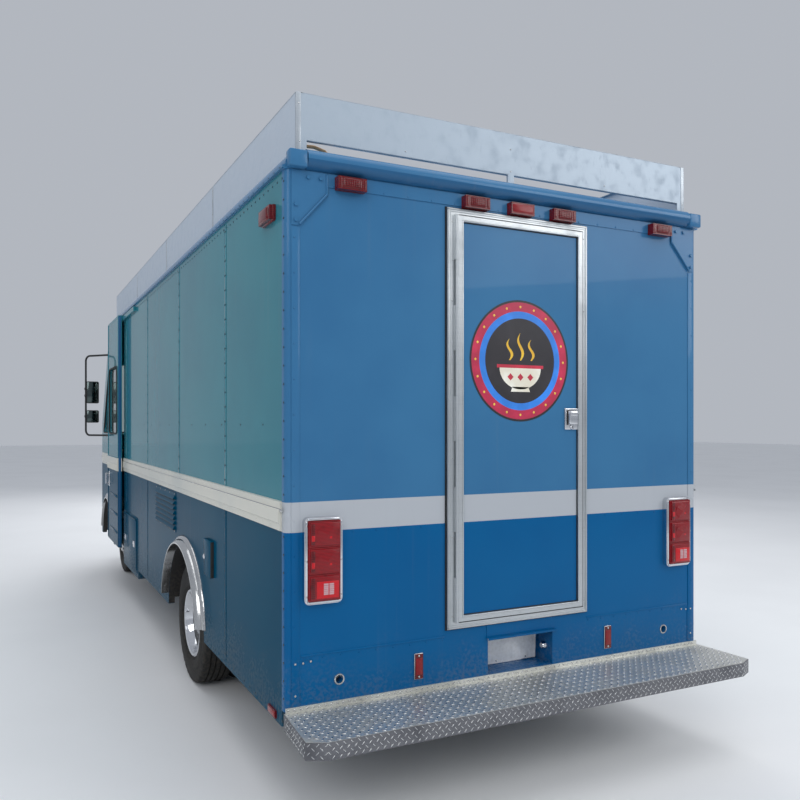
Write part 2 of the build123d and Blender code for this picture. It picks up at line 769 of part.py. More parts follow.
# Wheel arch trims: rolled flares round the wheel openings, deep at the rear and shallow at the front
flare_w = 55
flare_rows = ((rear_axle_y, rear_arch_r, 55), (front_axle_y, front_arch_r, 24))
with BuildPart() as arch_trims:
    for axle_y, arch_r, proud in flare_rows:
        for name, side in sides:
            with BuildSketch(axle_plane(0, axle_y)):
                with BuildLine():
                    Polyline(
                        (side * (half + 3), arch_r + flare_w), (side * half, arch_r + flare_w),
                        (side * half, arch_r), (side * (half + proud), arch_r),
                        (side * (half + proud), arch_r + 8),
                    )
                    ThreePointArc(
                        (side * (half + proud), arch_r + 8), (side * (half + 0.73 * proud), arch_r + 24),
                        (side * (half + 0.4 * proud), arch_r + 32),
                    )
                    ThreePointArc(
                        (side * (half + 0.4 * proud), arch_r + 32),
                        (side * (half + 0.3 * proud), arch_r + 46), (side * (half + 3), arch_r + flare_w),
                    )
                make_face()
            revolve(axis=axle_line(axle_y))
    block((-2 * half, 2 * half), (2 * rear_y, 2 * nose_y), (-500, tyre_r + 96), mode=Mode.SUBTRACT)
save(arch_trims, "arch_trims")

# Rear wall with the doorway and the recess for the licence plate
bumper_top = 472
frame_left, frame_right = -rear_door_frame_w / 2, rear_door_frame_w / 2
frame_bottom = floor_top
hinge_rail = 44
frame_rail = 26
jamb = 12
clear_left = frame_left + hinge_rail
clear_right = frame_right - frame_rail
clear_bottom = frame_bottom + frame_rail
clear_top = rear_door_top - frame_rail
recess_x = (-183, 209)
recess_z = (495, 672)
recess_depth = 119
band_z = 2731
gusset_w = 190
with BuildPart() as rear_wall:
    block((-half, half), (rear_y, rear_in), (bumper_top, gutter_z))
    fillet(rear_wall.edges().filter_by(Axis.Z).group_by(Axis.Y)[0], 24)
    block((-half + gusset_w + 6, half - gusset_w - 6), (rear_y - 4, rear_y), (band_z, gutter_z))
    block((recess_x[0] - 8, recess_x[1] + 8), (rear_y - 3, rear_y), (recess_z[1], floor_top - 4))
    block(
        (recess_x[0] - 4, recess_x[1] + 4), (rear_y, rear_y + recess_depth + 4),
        (recess_z[0] - 4, recess_z[1] + 4),
    )
    block(recess_x, (rear_y - 20, rear_y + recess_depth), recess_z, mode=Mode.SUBTRACT)
    block(
        (clear_left - jamb, clear_right + jamb), (rear_y - 20, rear_in + 20),
        (clear_bottom - jamb, clear_top + jamb), mode=Mode.SUBTRACT,
    )
    with BuildSketch(along(rear_y - 10)):
        with Locations((half - 250, 585), (250 - half, 585)):
            Circle(18)
    extrude(amount=-(wall + 20), mode=Mode.SUBTRACT)
save(rear_wall, "rear_wall")

# Rear door: fixed frame, leaf, edge rail, and a hinge of interleaved knuckles on one pin
barrel_r = 8
pin_r = 4
flange_proud = 14
edge_proud = 16
pin_y = rear_y - edge_proud - barrel_r
pin_x = clear_left + rear_door_gap / 2
leaf_left = clear_left + rear_door_gap
leaf_right = clear_right - rear_door_gap
leaf_bottom = clear_bottom + rear_door_gap
leaf_top = clear_top - rear_door_gap
knuckles = 9
knuckle_pitch = (leaf_top - leaf_bottom) / knuckles


def knuckle_span(row):
    """Lower and upper end of one hinge knuckle."""
    return leaf_bottom + row * knuckle_pitch + 0.5, leaf_bottom + (row + 1) * knuckle_pitch - 0.5


with BuildPart() as rear_door_frame:
    block((frame_left, frame_right), (rear_y - flange_proud, rear_y), (frame_bottom, rear_door_top))
    block(
        (clear_left - jamb, clear_right + jamb), (rear_y, rear_in),
        (clear_bottom - jamb, clear_top + jamb),
    )
    block(
        (clear_left, clear_right), (rear_y - 50, rear_in + 20), (clear_bottom, clear_top),
        mode=Mode.SUBTRACT,
    )
    for row in range(0, knuckles, 2):
        low, high = knuckle_span(row)
        block((pin_x - 12, pin_x - 3), (pin_y, rear_y - flange_proud), (low, high))
        with Locations((pin_x, pin_y, (low + high) / 2)):
            Cylinder(barrel_r, high - low)
    with Locations((pin_x, pin_y, (leaf_bottom + leaf_top) / 2)):
        Cylinder(pin_r, leaf_top - leaf_bottom - 2)
save(rear_door_frame, "rear_door_frame")

edge_rail = 24
hinge_edge = 36
skin_y = rear_y - 6
leaf_back = rear_y + 32
with BuildPart() as rear_door:
    block(
        (leaf_left + hinge_edge, leaf_right - edge_rail), (skin_y, leaf_back - 2),
        (leaf_bottom + edge_rail, leaf_top - edge_rail),
    )
save(rear_door, "rear_door")

latch_x = 328
latch_z = 1729
with BuildPart() as rear_door_edge:
    block((leaf_left, leaf_right), (rear_y - edge_proud, leaf_back), (leaf_bottom, leaf_top))
    block(
        (leaf_left + hinge_edge, leaf_right - edge_rail), (rear_y - 50, leaf_back + 20),
        (leaf_bottom + edge_rail, leaf_top - edge_rail), mode=Mode.SUBTRACT,
    )
    for row in range(1, knuckles, 2):
        low, high = knuckle_span(row)
        block((pin_x + 3, pin_x + 12), (pin_y, rear_y - edge_proud), (low, high))
        with Locations((pin_x, pin_y, (low + high) / 2)):
            Cylinder(barrel_r, high - low)
            Cylinder(pin_r + fit_gap, high - low + 1, mode=Mode.SUBTRACT)
save(rear_door_edge, "rear_door_edge")

with BuildPart() as rear_door_latch:
    block((latch_x - 48, latch_x + 34), (skin_y - 5, skin_y), (latch_z - 53, latch_z + 53))
    block((latch_x - 34, latch_x + 18), (skin_y - 22, skin_y - 5), (latch_z - 30, latch_z + 40))
save(rear_door_latch, "rear_door_latch")

# Rear lamps, reflectors, rails and plates
lamp_centre = half - 165
tail_z = (929, 1303)
tail_half = 89
with BuildPart() as tail_lamp_bezels:
    for name, side in sides:
        with BuildSketch(along(rear_y)):
            with Locations((side * lamp_centre, sum(tail_z) / 2)):
                RectangleRounded(2 * tail_half, tail_z[1] - tail_z[0], 24)
        extrude(amount=28)
        block(
            (side * (lamp_centre - tail_half + 14), side * (lamp_centre + tail_half - 14)),
            (rear_y - 60, rear_y - 6), (tail_z[0] + 14, tail_z[1] - 14), mode=Mode.SUBTRACT,
        )
save(tail_lamp_bezels, "tail_lamp_bezels")

lens_h = (tail_z[1] - tail_z[0] - 28) / 3
with BuildPart() as tail_lamp_lenses:
    for name, side in sides:
        for row in range(3):
            low = tail_z[0] + 14 + row * lens_h
            block(
                (side * (lamp_centre - tail_half + 15), side * (lamp_centre + tail_half - 15)),
                (rear_y - 40, rear_y - 6), (low + 1, low + lens_h - 1),
            )
save(tail_lamp_lenses, "tail_lamp_lenses")

marker_x = (297 - half, -268, -5, 255, half - 297)
marker_size = (138, 38, 56)
marker_foot = band_z - 9
with BuildPart() as red_markers:
    for x in marker_x:
        base_y = rear_y - 4
        block(
            (x - marker_size[0] / 2, x + marker_size[0] / 2), (base_y - marker_size[1], base_y),
            (marker_foot, marker_foot + marker_size[2]),
        )
    for name, side in sides:
        x = side * half
        block((x, x + side * 30), (rear_y + 125, rear_y + 275), (2602, 2666))
        block((x, x + side * 8), (rear_y + 110, rear_y + 210), (412, 446))
        block((side * 570 - 21, side * 570 + 21), (rear_y - 8, rear_y), (532, 645))
save(red_markers, "red_markers")

tube_r = 43
tube_half = half - 90
with BuildPart() as rear_roof_rail:
    with BuildSketch(across(-tube_half)):
        with Locations((rear_y, roof_top - tube_r + 10)):
            Circle(tube_r)
            Rectangle(3 * tube_r, 3 * tube_r, align=(Align.MIN, Align.CENTER), mode=Mode.SUBTRACT)
    extrude(amount=2 * tube_half)
    for name, side in sides:
        with BuildSketch(along(rear_y)):
            outline([
                (side * (half - 2), gutter_z - 1), (side * (half - gusset_w), gutter_z - 1),
                (side * (half - gusset_w), gutter_z - 95), (side * (half - 60), gutter_z - 238),
                (side * (half - 26), gutter_z - 238), (side * (half - 26), gutter_z - 1),
            ])
        extrude(amount=4)
save(rear_roof_rail, "rear_roof_rail")

bumper_h = 68
with BuildPart() as rear_bumper:
    back_half = half + 6
    tip_half = half + 26
    rear_end = rear_y - rear_bumper_depth
    with BuildSketch(Plane.XY.offset(bumper_top - bumper_h)):
        outline([
            (-back_half, rear_y), (-tip_half, rear_end + 35), (-tip_half + 80, rear_end),
            (tip_half - 80, rear_end), (tip_half, rear_end + 35), (back_half, rear_y),
        ])
    extrude(amount=bumper_h)
    block(
        (-back_half + 70, back_half - 70), (rear_end + 6, rear_y - 6), (0, bumper_top - 6),
        mode=Mode.SUBTRACT,
    )
    block((-half, half), (rear_y - 5, rear_y), (bumper_top, bumper_top + 22))
    for name, side in sides:
        bracket_x = (side * rail_in, side * rail_out)
        block(bracket_x, (rear_end + 40, rail_rear + 120), (rail_bottom - 90, rail_bottom - 20))
        block(bracket_x, (rail_rear, rail_rear + 120), (rail_bottom - 30, rail_bottom))
save(rear_bumper, "rear_bumper")

# Roof, parapet and exhaust fan
with BuildPart() as roof:
    with BuildSketch(along(shell_rear)) as section:
        with Locations((0, gutter_z + roof_thick / 2)):
            Rectangle(body_width, roof_thick)
        fillet(section.vertices().group_by(Axis.Y)[-1], roof_edge_r)
    extrude(amount=shell_rear - rear_y)
    for name, side in sides:
        with BuildSketch(along(shell_rear)):
            outline([
                (side * (half - 1), gutter_z), (side * (half + 14), gutter_z + 2),
                (side * (half + 14), gutter_z + 12), (side * (half - 1), gutter_z + 18),
            ])
        extrude(amount=shell_rear - rear_y)
save(roof, "roof")

parapet_rear = rear_y + 30
parapet_front = screen_head[0] - 90
panel_x = half - parapet_inset
post = 36
slot = 66
with BuildPart() as parapet:
    for name, side in sides:
        block(
            (side * (panel_x - sheet), side * panel_x), (parapet_rear, parapet_front),
            (roof_top, parapet_top),
        )
    inner = panel_x - sheet - 1
    block((-inner, inner), (parapet_front - sheet, parapet_front), (roof_top, parapet_top))
    block((-inner, inner), (parapet_rear, parapet_rear + sheet), (roof_top, parapet_top))
    for span in ((-inner + post, -post - 6), (-6, inner - post)):
        block(
            span, (parapet_rear - 10, parapet_rear + sheet + 10), (roof_top - 1, roof_top + slot),
            mode=Mode.SUBTRACT,
        )
save(parapet, "parapet")

fan_ahead = 365
fan_y = rear_axle_y + fan_ahead
with BuildPart() as roof_fan:
    with BuildSketch(Plane(origin=(0, fan_y, roof_top), x_dir=(1, 0, 0), z_dir=(0, -1, 0))):
        with BuildLine():
            Polyline(
                (0, 0), (300, 0), (300, 70), (190, 90), (190, 120), (290, 130), (290, 150), (255, 190),
                (160, 222), (0, 235), close=True,
            )
        make_face()
    revolve(axis=Axis((0, fan_y, roof_top), (0, 0, 1)))
save(roof_fan, "roof_fan")

# Cab inside
with BuildPart() as partition:
    block((-half_in + 1, half_in - 1), (doorway_rear - 60, doorway_rear - 30), (floor_top, gutter_z))
save(partition, "partition")

cover_rear = engine_rear - 60
cover_half = engine_half + 70
dash_depth = 560
dash_z = (1130, 1290, 1400)
dash_rear = screen_foot[0] - dash_depth
with BuildPart() as dashboard:
    block((-cover_half, cover_half), (cover_rear, dash_rear + 100), (floor_top, engine_top + 90))
    with BuildSketch(across(-half_in + 40)):
        outline([
            (dash_rear, dash_z[0]), (dash_rear - 30, dash_z[1]), (dash_rear + 60, dash_z[2]),
            (screen_foot[0] - 75, dash_z[2]), (screen_foot[0] - 75, dash_z[0]),
        ])
    extrude(amount=2 * half_in - 80)
    cover_in = cover_half - 15
    for span in ((cover_rear + 15, dash_rear + 101), (dash_rear, screen_foot[0])):
        block((-cover_in, cover_in), span, (0, engine_top + 75), mode=Mode.SUBTRACT)
save(dashboard, "dashboard")

driver_x = -half / 2
wheel_tilt = 55
wheel_r = 215
wheel_reach = 190
wheel_z = dash_z[2] - 70
wheel_centre = (driver_x, dash_rear - wheel_reach, wheel_z)
wheel_up = (0, -sin(radians(wheel_tilt)), cos(radians(wheel_tilt)))
wheel_plane = Plane(origin=wheel_centre, x_dir=(1, 0, 0), z_dir=wheel_up)
with BuildPart() as steering_wheel:
    with BuildSketch(Plane(origin=wheel_plane.origin, x_dir=wheel_plane.x_dir, z_dir=wheel_plane.y_dir)):
        with Locations((wheel_r, 0)):
            Circle(14)
    revolve(axis=Axis(wheel_centre, wheel_plane.z_dir))
    with BuildSketch(wheel_plane.offset(-12)):
        Circle(45)
        Rectangle(2 * wheel_r - 10, 34)
        with Locations((0, -(wheel_r - 5) / 2)):
            Rectangle(34, wheel_r - 5)
    extrude(amount=16)
    with BuildSketch(wheel_plane):
        Circle(26)
    extrude(amount=-560)
    add(dashboard.part, mode=Mode.SUBTRACT)
    block((-half_in, 0), (dash_rear + 62, nose_y), (0, gutter_z), mode=Mode.SUBTRACT)
save(steering_wheel, "steering_wheel")

seat_reach = 460
seat_depth = 480
seat_back_h = 570
seat_lean = 80
seat_rear = wheel_centre[1] - seat_reach - seat_depth / 2
seat_front = seat_rear + seat_depth
seat_half = -driver_x - cover_half - 15
seat_base = 1080
cushion_z = (seat_base + 30, seat_base + 130)
back_top = cushion_z[1] + seat_back_h
with BuildPart() as seat_pedestal:
    foot = seat_half - 105
    plate = seat_half - 25
    block((driver_x - foot, driver_x + foot), (seat_rear + 100, seat_front - 100), (floor_top, seat_base))
    block((driver_x - plate, driver_x + plate), (seat_rear + 20, seat_front - 20), (seat_base, cushion_z[0]))
save(seat_pedestal, "seat_pedestal")

with BuildPart() as seat_cushions:
    block((driver_x - seat_half, driver_x + seat_half), (seat_rear, seat_front), cushion_z)
    back_half = seat_half - 10
    back_foot = cushion_z[1] + fit_gap
    back_rear = seat_rear + 5
    with BuildSketch(across(driver_x - back_half)):
        outline([
            (back_rear, back_foot), (back_rear + 100, back_foot), (back_rear + 100 - seat_lean, back_top),
            (back_rear + 10 - seat_lean, back_top),
        ])
    extrude(amount=2 * back_half)
save(seat_cushions, "seat_cushions")

# Mirrors: bent tubes from the cab side and back to it, with two heads each
mirror_y = front_axle_y + 200
mirror_out = half + 225
mirror_in = half + 80
mirror_z = (1580, 2500)
mirror_reach = 300
tube = 11
root = 30
head_rows = ((1950, 2205), (1725, 1870))
with BuildPart() as mirrors:
    for name, side in sides:
        low_foot = Vector(side * (half - root), mirror_y - mirror_reach, mirror_z[0])
        high_foot = Vector(side * (half - root), mirror_y - mirror_reach, mirror_z[1])
        low_bend = Vector(side * mirror_out, mirror_y, mirror_z[0])
        high_bend = Vector(side * mirror_out, mirror_y, mirror_z[1])
        with BuildLine() as bend:
            Polyline(low_foot, low_bend, high_bend, high_foot)
            fillet(bend.vertices().group_by(Axis.X)[0 if side < 0 else -1], 60)
        with BuildSketch(Plane(origin=low_foot, z_dir=low_bend - low_foot)):
            Circle(tube)
        sweep(path=bend.wires()[0])
        block(
            (side * (half - 2 * root), side * half), (mirror_y - 600, mirror_y + 300),
            (mirror_z[0] - 50, mirror_z[1] + 50), mode=Mode.SUBTRACT,
        )
        for low, high in head_rows:
            with BuildSketch(along(mirror_y - tube + 2)):
                with Locations((side * (mirror_in + mirror_out) / 2, (low + high) / 2)):
                    RectangleRounded(mirror_out - mirror_in - 6, high - low, 18)
            extrude(amount=26)
save(mirrors, "mirrors")
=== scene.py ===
"""Looks of the food truck: finishes for the CAD pieces, and the fasteners, trim and soft pieces
that the solids leave out. Metres, in the part's own frame: +X right, +Y forward, +Z up."""

import math

import bmesh
import bpy
from mathutils import Matrix, Vector


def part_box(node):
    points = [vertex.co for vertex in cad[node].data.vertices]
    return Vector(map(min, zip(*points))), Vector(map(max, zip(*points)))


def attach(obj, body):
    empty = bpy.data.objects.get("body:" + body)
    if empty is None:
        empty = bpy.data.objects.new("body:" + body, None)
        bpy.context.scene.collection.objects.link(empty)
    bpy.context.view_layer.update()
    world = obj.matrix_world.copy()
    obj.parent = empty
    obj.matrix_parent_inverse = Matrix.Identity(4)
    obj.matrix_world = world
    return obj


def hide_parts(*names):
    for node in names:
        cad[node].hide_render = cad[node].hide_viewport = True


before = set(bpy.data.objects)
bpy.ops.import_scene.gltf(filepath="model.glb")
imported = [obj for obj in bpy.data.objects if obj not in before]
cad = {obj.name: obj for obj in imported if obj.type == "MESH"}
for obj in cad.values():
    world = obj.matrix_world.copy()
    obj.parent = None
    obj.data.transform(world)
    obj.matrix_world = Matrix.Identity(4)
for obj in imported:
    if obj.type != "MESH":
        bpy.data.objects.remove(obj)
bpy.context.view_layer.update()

# Sizes shared with the solids
HALF = 1.22
REAR = -3.2325
NOSE = 3.4675
REAR_AXLE = -1.2975
FRONT_AXLE = 2.6925
HUB_Z = 0.386
TYRE_R = 0.386
TYRE_W = 0.215
ROOF = 2.87
GUTTER = 2.79
UNDER_BELT = 1.236
OVER_BELT = 1.372
STRIPE_BAND = (1.238, 1.367)
# Height above which the body paint takes its painted reflection colour
REFLECTION_LEVEL = 1.30
WALL_TOP = 2.776
DOOR_Y = (1.4075, 2.1775)
DOORWAY_Y = (1.4375, 2.1475)
DOOR_FACE = 1.28
DOOR_FOOT = 0.492
HATCH_Y = (-1.8825, 0.5675)
HATCH_Z = (1.38, 2.48)
BUMPER_TOP = 0.472
BUMPER_REAR = -3.5675
SIDES = (-1, 1)
LETTERED = (("l", -1), ("r", 1))
DRIVER_X = -0.61
DIAGONAL = 0.707

# Directions
ACROSS = (1, 0, 0)
FORWARD = (0, 1, 0)
REARWARD = (0, -1, 0)
UPWARD = (0, 0, 1)
DOWNWARD = (0, 0, -1)
OUTWARD = {-1: (-1, 0, 0), 1: (1, 0, 0)}


def srgb(red, green, blue):
    """Linear colour of a screen colour given from 0 to 255."""
    def part(v):
        v /= 255
        return v / 12.92 if v <= 0.04045 else ((v + 0.055) / 1.055) ** 2.4

    return part(red), part(green), part(blue), 1.0


# Shader node groups: effects that several finishes share


def effect(name, inputs, outputs):
    """Empty shader group with named inputs, each (name, type, default), and outputs."""
    group = bpy.data.node_groups.new(name, "ShaderNodeTree")
    for label, kind, default in inputs:
        socket = group.interface.new_socket(name=label, in_out="INPUT", socket_type=kind)
        if default is not None:
            socket.default_value = default
    for label, kind in outputs:
        group.interface.new_socket(name=label, in_out="OUTPUT", socket_type=kind)
    return group, group.nodes.new("NodeGroupInput"), group.nodes.new("NodeGroupOutput")


def maths(tree, operation, first, second=None):
    """Math node on sockets or numbers; gives its output."""
    node = tree.nodes.new("ShaderNodeMath")
    node.operation = operation
    for slot, value in enumerate((first, second)):
        if value is None:
            continue
        if isinstance(value, (int, float)):
            node.inputs[slot].default_value = value
        else:
            tree.links.new(value, node.inputs[slot])
    return node.outputs[0]


def ramped(tree, value, low, high):
    """Smooth step of a value from low to high; low and high are sockets or numbers."""
    node = tree.nodes.new("ShaderNodeMapRange")
    node.interpolation_type = "SMOOTHSTEP"
    tree.links.new(value, node.inputs["Value"])
    for label, limit in (("From Min", low), ("From Max", high)):
        if isinstance(limit, (int, float)):
            node.inputs[label].default_value = limit
        else:
            tree.links.new(limit, node.inputs[label])
    return node.outputs["Result"]


def stretched(tree, vector, scale):
    """Coordinates scaled apart along each axis."""
    node = tree.nodes.new("ShaderNodeMapping")
    node.inputs["Scale"].default_value = scale
    tree.links.new(vector, node.inputs["Vector"])
    return node.outputs["Vector"]


def noise(tree, vector, scale, detail=3.0):
    """Noise texture; gives its value."""
    node = tree.nodes.new("ShaderNodeTexNoise")
    node.inputs["Detail"].default_value = detail
    if isinstance(scale, (int, float)):
        node.inputs["Scale"].default_value = scale
    else:
        tree.links.new(scale, node.inputs["Scale"])
    tree.links.new(vector, node.inputs["Vector"])
    return node.outputs["Fac"]


def axes_of(tree, vector):
    """X, Y and Z of a coordinate."""
    node = tree.nodes.new("ShaderNodeSeparateXYZ")
    tree.links.new(vector, node.inputs[0])
    return node.outputs


def make_blotches():
    """Soft patches of noise."""
    group, inp, out = effect(
        "blotches",
        [("Vector", "NodeSocketVector", None), ("Scale", "NodeSocketFloat", 4.0),
         ("Low", "NodeSocketFloat", 0.4), ("High", "NodeSocketFloat", 0.7)],
        [("Mask", "NodeSocketFloat")],
    )
    value = noise(group, inp.outputs["Vector"], inp.outputs["Scale"], 4.0)
    group.links.new(ramped(group, value, inp.outputs["Low"], inp.outputs["High"]), out.inputs["Mask"])
    return group


def make_road_dust():
    """Specks that thicken towards the ground."""
    group, inp, out = effect(
        "road_dust",
        [("Vector", "NodeSocketVector", None), ("Clean Above", "NodeSocketFloat", 0.9),
         ("Amount", "NodeSocketFloat", 0.5)],
        [("Mask", "NodeSocketFloat")],
    )
    vector = inp.outputs["Vector"]
    z = axes_of(group, vector)[2]
    ragged = maths(group, "MULTIPLY", maths(group, "SUBTRACT", noise(group, vector, 5.0, 5.0), 0.5), 0.5)
    level = maths(group, "ADD", z, ragged)
    low = ramped(group, level, inp.outputs["Clean Above"], 0.25)
    specks = ramped(group, noise(group, vector, 60.0, 2.0), 0.35, 0.7)
    mask = maths(group, "MULTIPLY", maths(group, "MULTIPLY", low, specks), inp.outputs["Amount"])
    group.links.new(mask, out.inputs["Mask"])
    return group


def make_rain_streaks():
    """Upright runs left by rain, here and there."""
    group, inp, out = effect(
        "rain_streaks", [("Vector", "NodeSocketVector", None), ("Amount", "NodeSocketFloat", 0.4)],
        [("Mask", "NodeSocketFloat")],
    )
    runs = stretched(group, inp.outputs["Vector"], (26.0, 26.0, 0.7))
    fade = ramped(group, noise(group, inp.outputs["Vector"], 1.3, 2.0), 0.45, 0.75)
    value = ramped(group, noise(group, runs, 1.0, 3.0), 0.5, 0.85)
    mask = maths(group, "MULTIPLY", maths(group, "MULTIPLY", value, fade), inp.outputs["Amount"])
    group.links.new(mask, out.inputs["Mask"])
    return group


def make_level_band():
    """Everything between two heights."""
    group, inp, out = effect(
        "level_band",
        [("Vector", "NodeSocketVector", None), ("Bottom", "NodeSocketFloat", STRIPE_BAND[0]),
         ("Top", "NodeSocketFloat", STRIPE_BAND[1])],
        [("Mask", "NodeSocketFloat")],
    )
    z = axes_of(group, inp.outputs["Vector"])[2]
    above = maths(group, "GREATER_THAN", z, inp.outputs["Bottom"])
    below = maths(group, "LESS_THAN", z, inp.outputs["Top"])
    group.links.new(maths(group, "MULTIPLY", above, below), out.inputs["Mask"])
    return group


def make_sheet_waves():
    """Slow waves of thin sheet with the paint's fine peel on them."""
    group, inp, out = effect(
        "sheet_waves", [("Vector", "NodeSocketVector", None), ("Peel", "NodeSocketFloat", 0.02)],
        [("Height", "NodeSocketFloat")],
    )
    vector = inp.outputs["Vector"]
    slow = noise(group, vector, 1.6, 1.0)
    peel = maths(group, "MULTIPLY", noise(group, vector, 260.0, 1.0), inp.outputs["Peel"])
    group.links.new(maths(group, "ADD", slow, peel), out.inputs["Height"])
    return group


def make_brush_lines():
    """Fine level lines, and stray scratches across them."""
    group, inp, out = effect(
        "brush_lines", [("Vector", "NodeSocketVector", None)],
        [("Mask", "NodeSocketFloat"), ("Scratches", "NodeSocketFloat")],
    )
    along = stretched(group, inp.outputs["Vector"], (4.0, 4.0, 380.0))
    group.links.new(noise(group, along, 1.0, 3.0), out.inputs["Mask"])
    crossing = stretched(group, inp.outputs["Vector"], (90.0, 7.0, 30.0))
    group.links.new(ramped(group, noise(group, crossing, 1.0, 4.0), 0.62, 0.7), out.inputs["Scratches"])
    return group


def make_grain():
    """Fine pebbled grain."""
    group, inp, out = effect(
        "grain", [("Vector", "NodeSocketVector", None), ("Scale", "NodeSocketFloat", 400.0)],
        [("Height", "NodeSocketFloat"), ("Mask", "NodeSocketFloat")],
    )
    cells = group.nodes.new("ShaderNodeTexVoronoi")
    group.links.new(inp.outputs["Vector"], cells.inputs["Vector"])
    group.links.new(inp.outputs["Scale"], cells.inputs["Scale"])
    fine = noise(group, inp.outputs["Vector"], inp.outputs["Scale"], 2.0)
    group.links.new(maths(group, "ADD", cells.outputs["Distance"], fine), out.inputs["Height"])
    group.links.new(ramped(group, fine, 0.35, 0.65), out.inputs["Mask"])
    return group


BLOTCHES = make_blotches()
ROAD_DUST = make_road_dust()
RAIN_STREAKS = make_rain_streaks()
LEVEL_BAND = make_level_band()
SHEET_WAVES = make_sheet_waves()
BRUSH_LINES = make_brush_lines()
GRAIN = make_grain()


class Finish:
    """One material, built up from a base colour by masks."""

    def __init__(self, name, colour, rough, metal=0.0, coat=0.0, coat_rough=0.03, specular=0.5):
        self.mat = bpy.data.materials.new(name)
        self.mat.use_nodes = True
        self.tree = self.mat.node_tree
        self.shader = self.tree.nodes["Principled BSDF"]
        self.shader.inputs["Base Color"].default_value = colour
        self.shader.inputs["Roughness"].default_value = rough
        self.shader.inputs["Metallic"].default_value = metal
        self.shader.inputs["Coat Weight"].default_value = coat
        self.shader.inputs["Coat Roughness"].default_value = coat_rough
        self.shader.inputs["Specular IOR Level"].default_value = specular
        self.mat.diffuse_color = colour
        self.place = self.tree.nodes.new("ShaderNodeTexCoord").outputs["Object"]
        self.colour = colour
        self.rough = rough

    def use(self, group, **values):
        """Places a shared effect; gives its node."""
        node = self.tree.nodes.new("ShaderNodeGroup")
        node.node_tree = group
        self.tree.links.new(self.place, node.inputs["Vector"])
        for label, value in values.items():
            node.inputs[label.replace("_", " ")].default_value = value
        return node

    def over(self, mask, colour):
        """Lays a colour over the base where the mask is."""
        node = self.tree.nodes.new("ShaderNodeMix")
        node.data_type = "RGBA"
        self.tree.links.new(mask, node.inputs[0])
        if isinstance(self.colour, tuple):
            node.inputs[6].default_value = self.colour
        else:
            self.tree.links.new(self.colour, node.inputs[6])
        node.inputs[7].default_value = colour
        self.colour = node.outputs[2]
        self.tree.links.new(self.colour, self.shader.inputs["Base Color"])
        return self

    def duller(self, mask, rough):
        """Changes the roughness where the mask is."""
        node = self.tree.nodes.new("ShaderNodeMix")
        self.tree.links.new(mask, node.inputs[0])
        if isinstance(self.rough, (int, float)):
            node.inputs[2].default_value = self.rough
        else:
            self.tree.links.new(self.rough, node.inputs[2])
        node.inputs[3].default_value = rough
        self.rough = node.outputs[0]
        self.tree.links.new(self.rough, self.shader.inputs["Roughness"])
        return self

    def tinted(self, mask, tint):
        """Multiplies the colour where the mask is."""
        node = self.tree.nodes.new("ShaderNodeMix")
        node.data_type = "RGBA"
        node.blend_type = "MULTIPLY"
        self.tree.links.new(mask, node.inputs[0])
        self.tree.links.new(self.colour, node.inputs[6])
        node.inputs[7].default_value = tint
        self.colour = node.outputs[2]
        self.tree.links.new(self.colour, self.shader.inputs["Base Color"])
        return self

    def coated(self, mask, below, above):
        """Changes the clear coat where the mask is."""
        node = self.tree.nodes.new("ShaderNodeMix")
        self.tree.links.new(mask, node.inputs[0])
        node.inputs[2].default_value = below
        node.inputs[3].default_value = above
        self.tree.links.new(node.outputs[0], self.shader.inputs["Coat Weight"])
        return self

    def bump(self, height, strength, distance):
        """Bumps the surface by a height."""
        node = self.tree.nodes.new("ShaderNodeBump")
        node.inputs["Strength"].default_value = strength
        node.inputs["Distance"].default_value = distance
        self.tree.links.new(height, node.inputs["Height"])
        self.tree.links.new(node.outputs["Normal"], self.shader.inputs["Normal"])
        return self


# Body blue with painted sky reflection: laid over the deeper body blue below it above the reflection level on
# the rear, and the whole colour of the roof, roof rail and cab top
BLUE_PAINTED_SKY_REFLECTION = srgb(60, 116, 158)
BLUE_LOWER = srgb(0, 92, 146)
# Darker teal side blue below the reflection level: the body paint as painted shade, with painted ground
# reflection
SIDE_BLUE_PAINTED_SHADE = srgb(0, 72, 98)
# Darker blue as painted shade: under the roof rail and on the cab doors' rear edges
RAIL_PAINTED_SHADE = srgb(40, 92, 134)
# Greener side blue above the reflection level: a painted reflection of green surroundings on the body paint
SIDE_PAINTED_REFLECTION = srgb(40, 124, 138)
CREAM = srgb(214, 212, 200)
STRIPE = srgb(177, 182, 188)
DUST = srgb(128, 116, 100)
GREY_FILM = srgb(120, 125, 128)


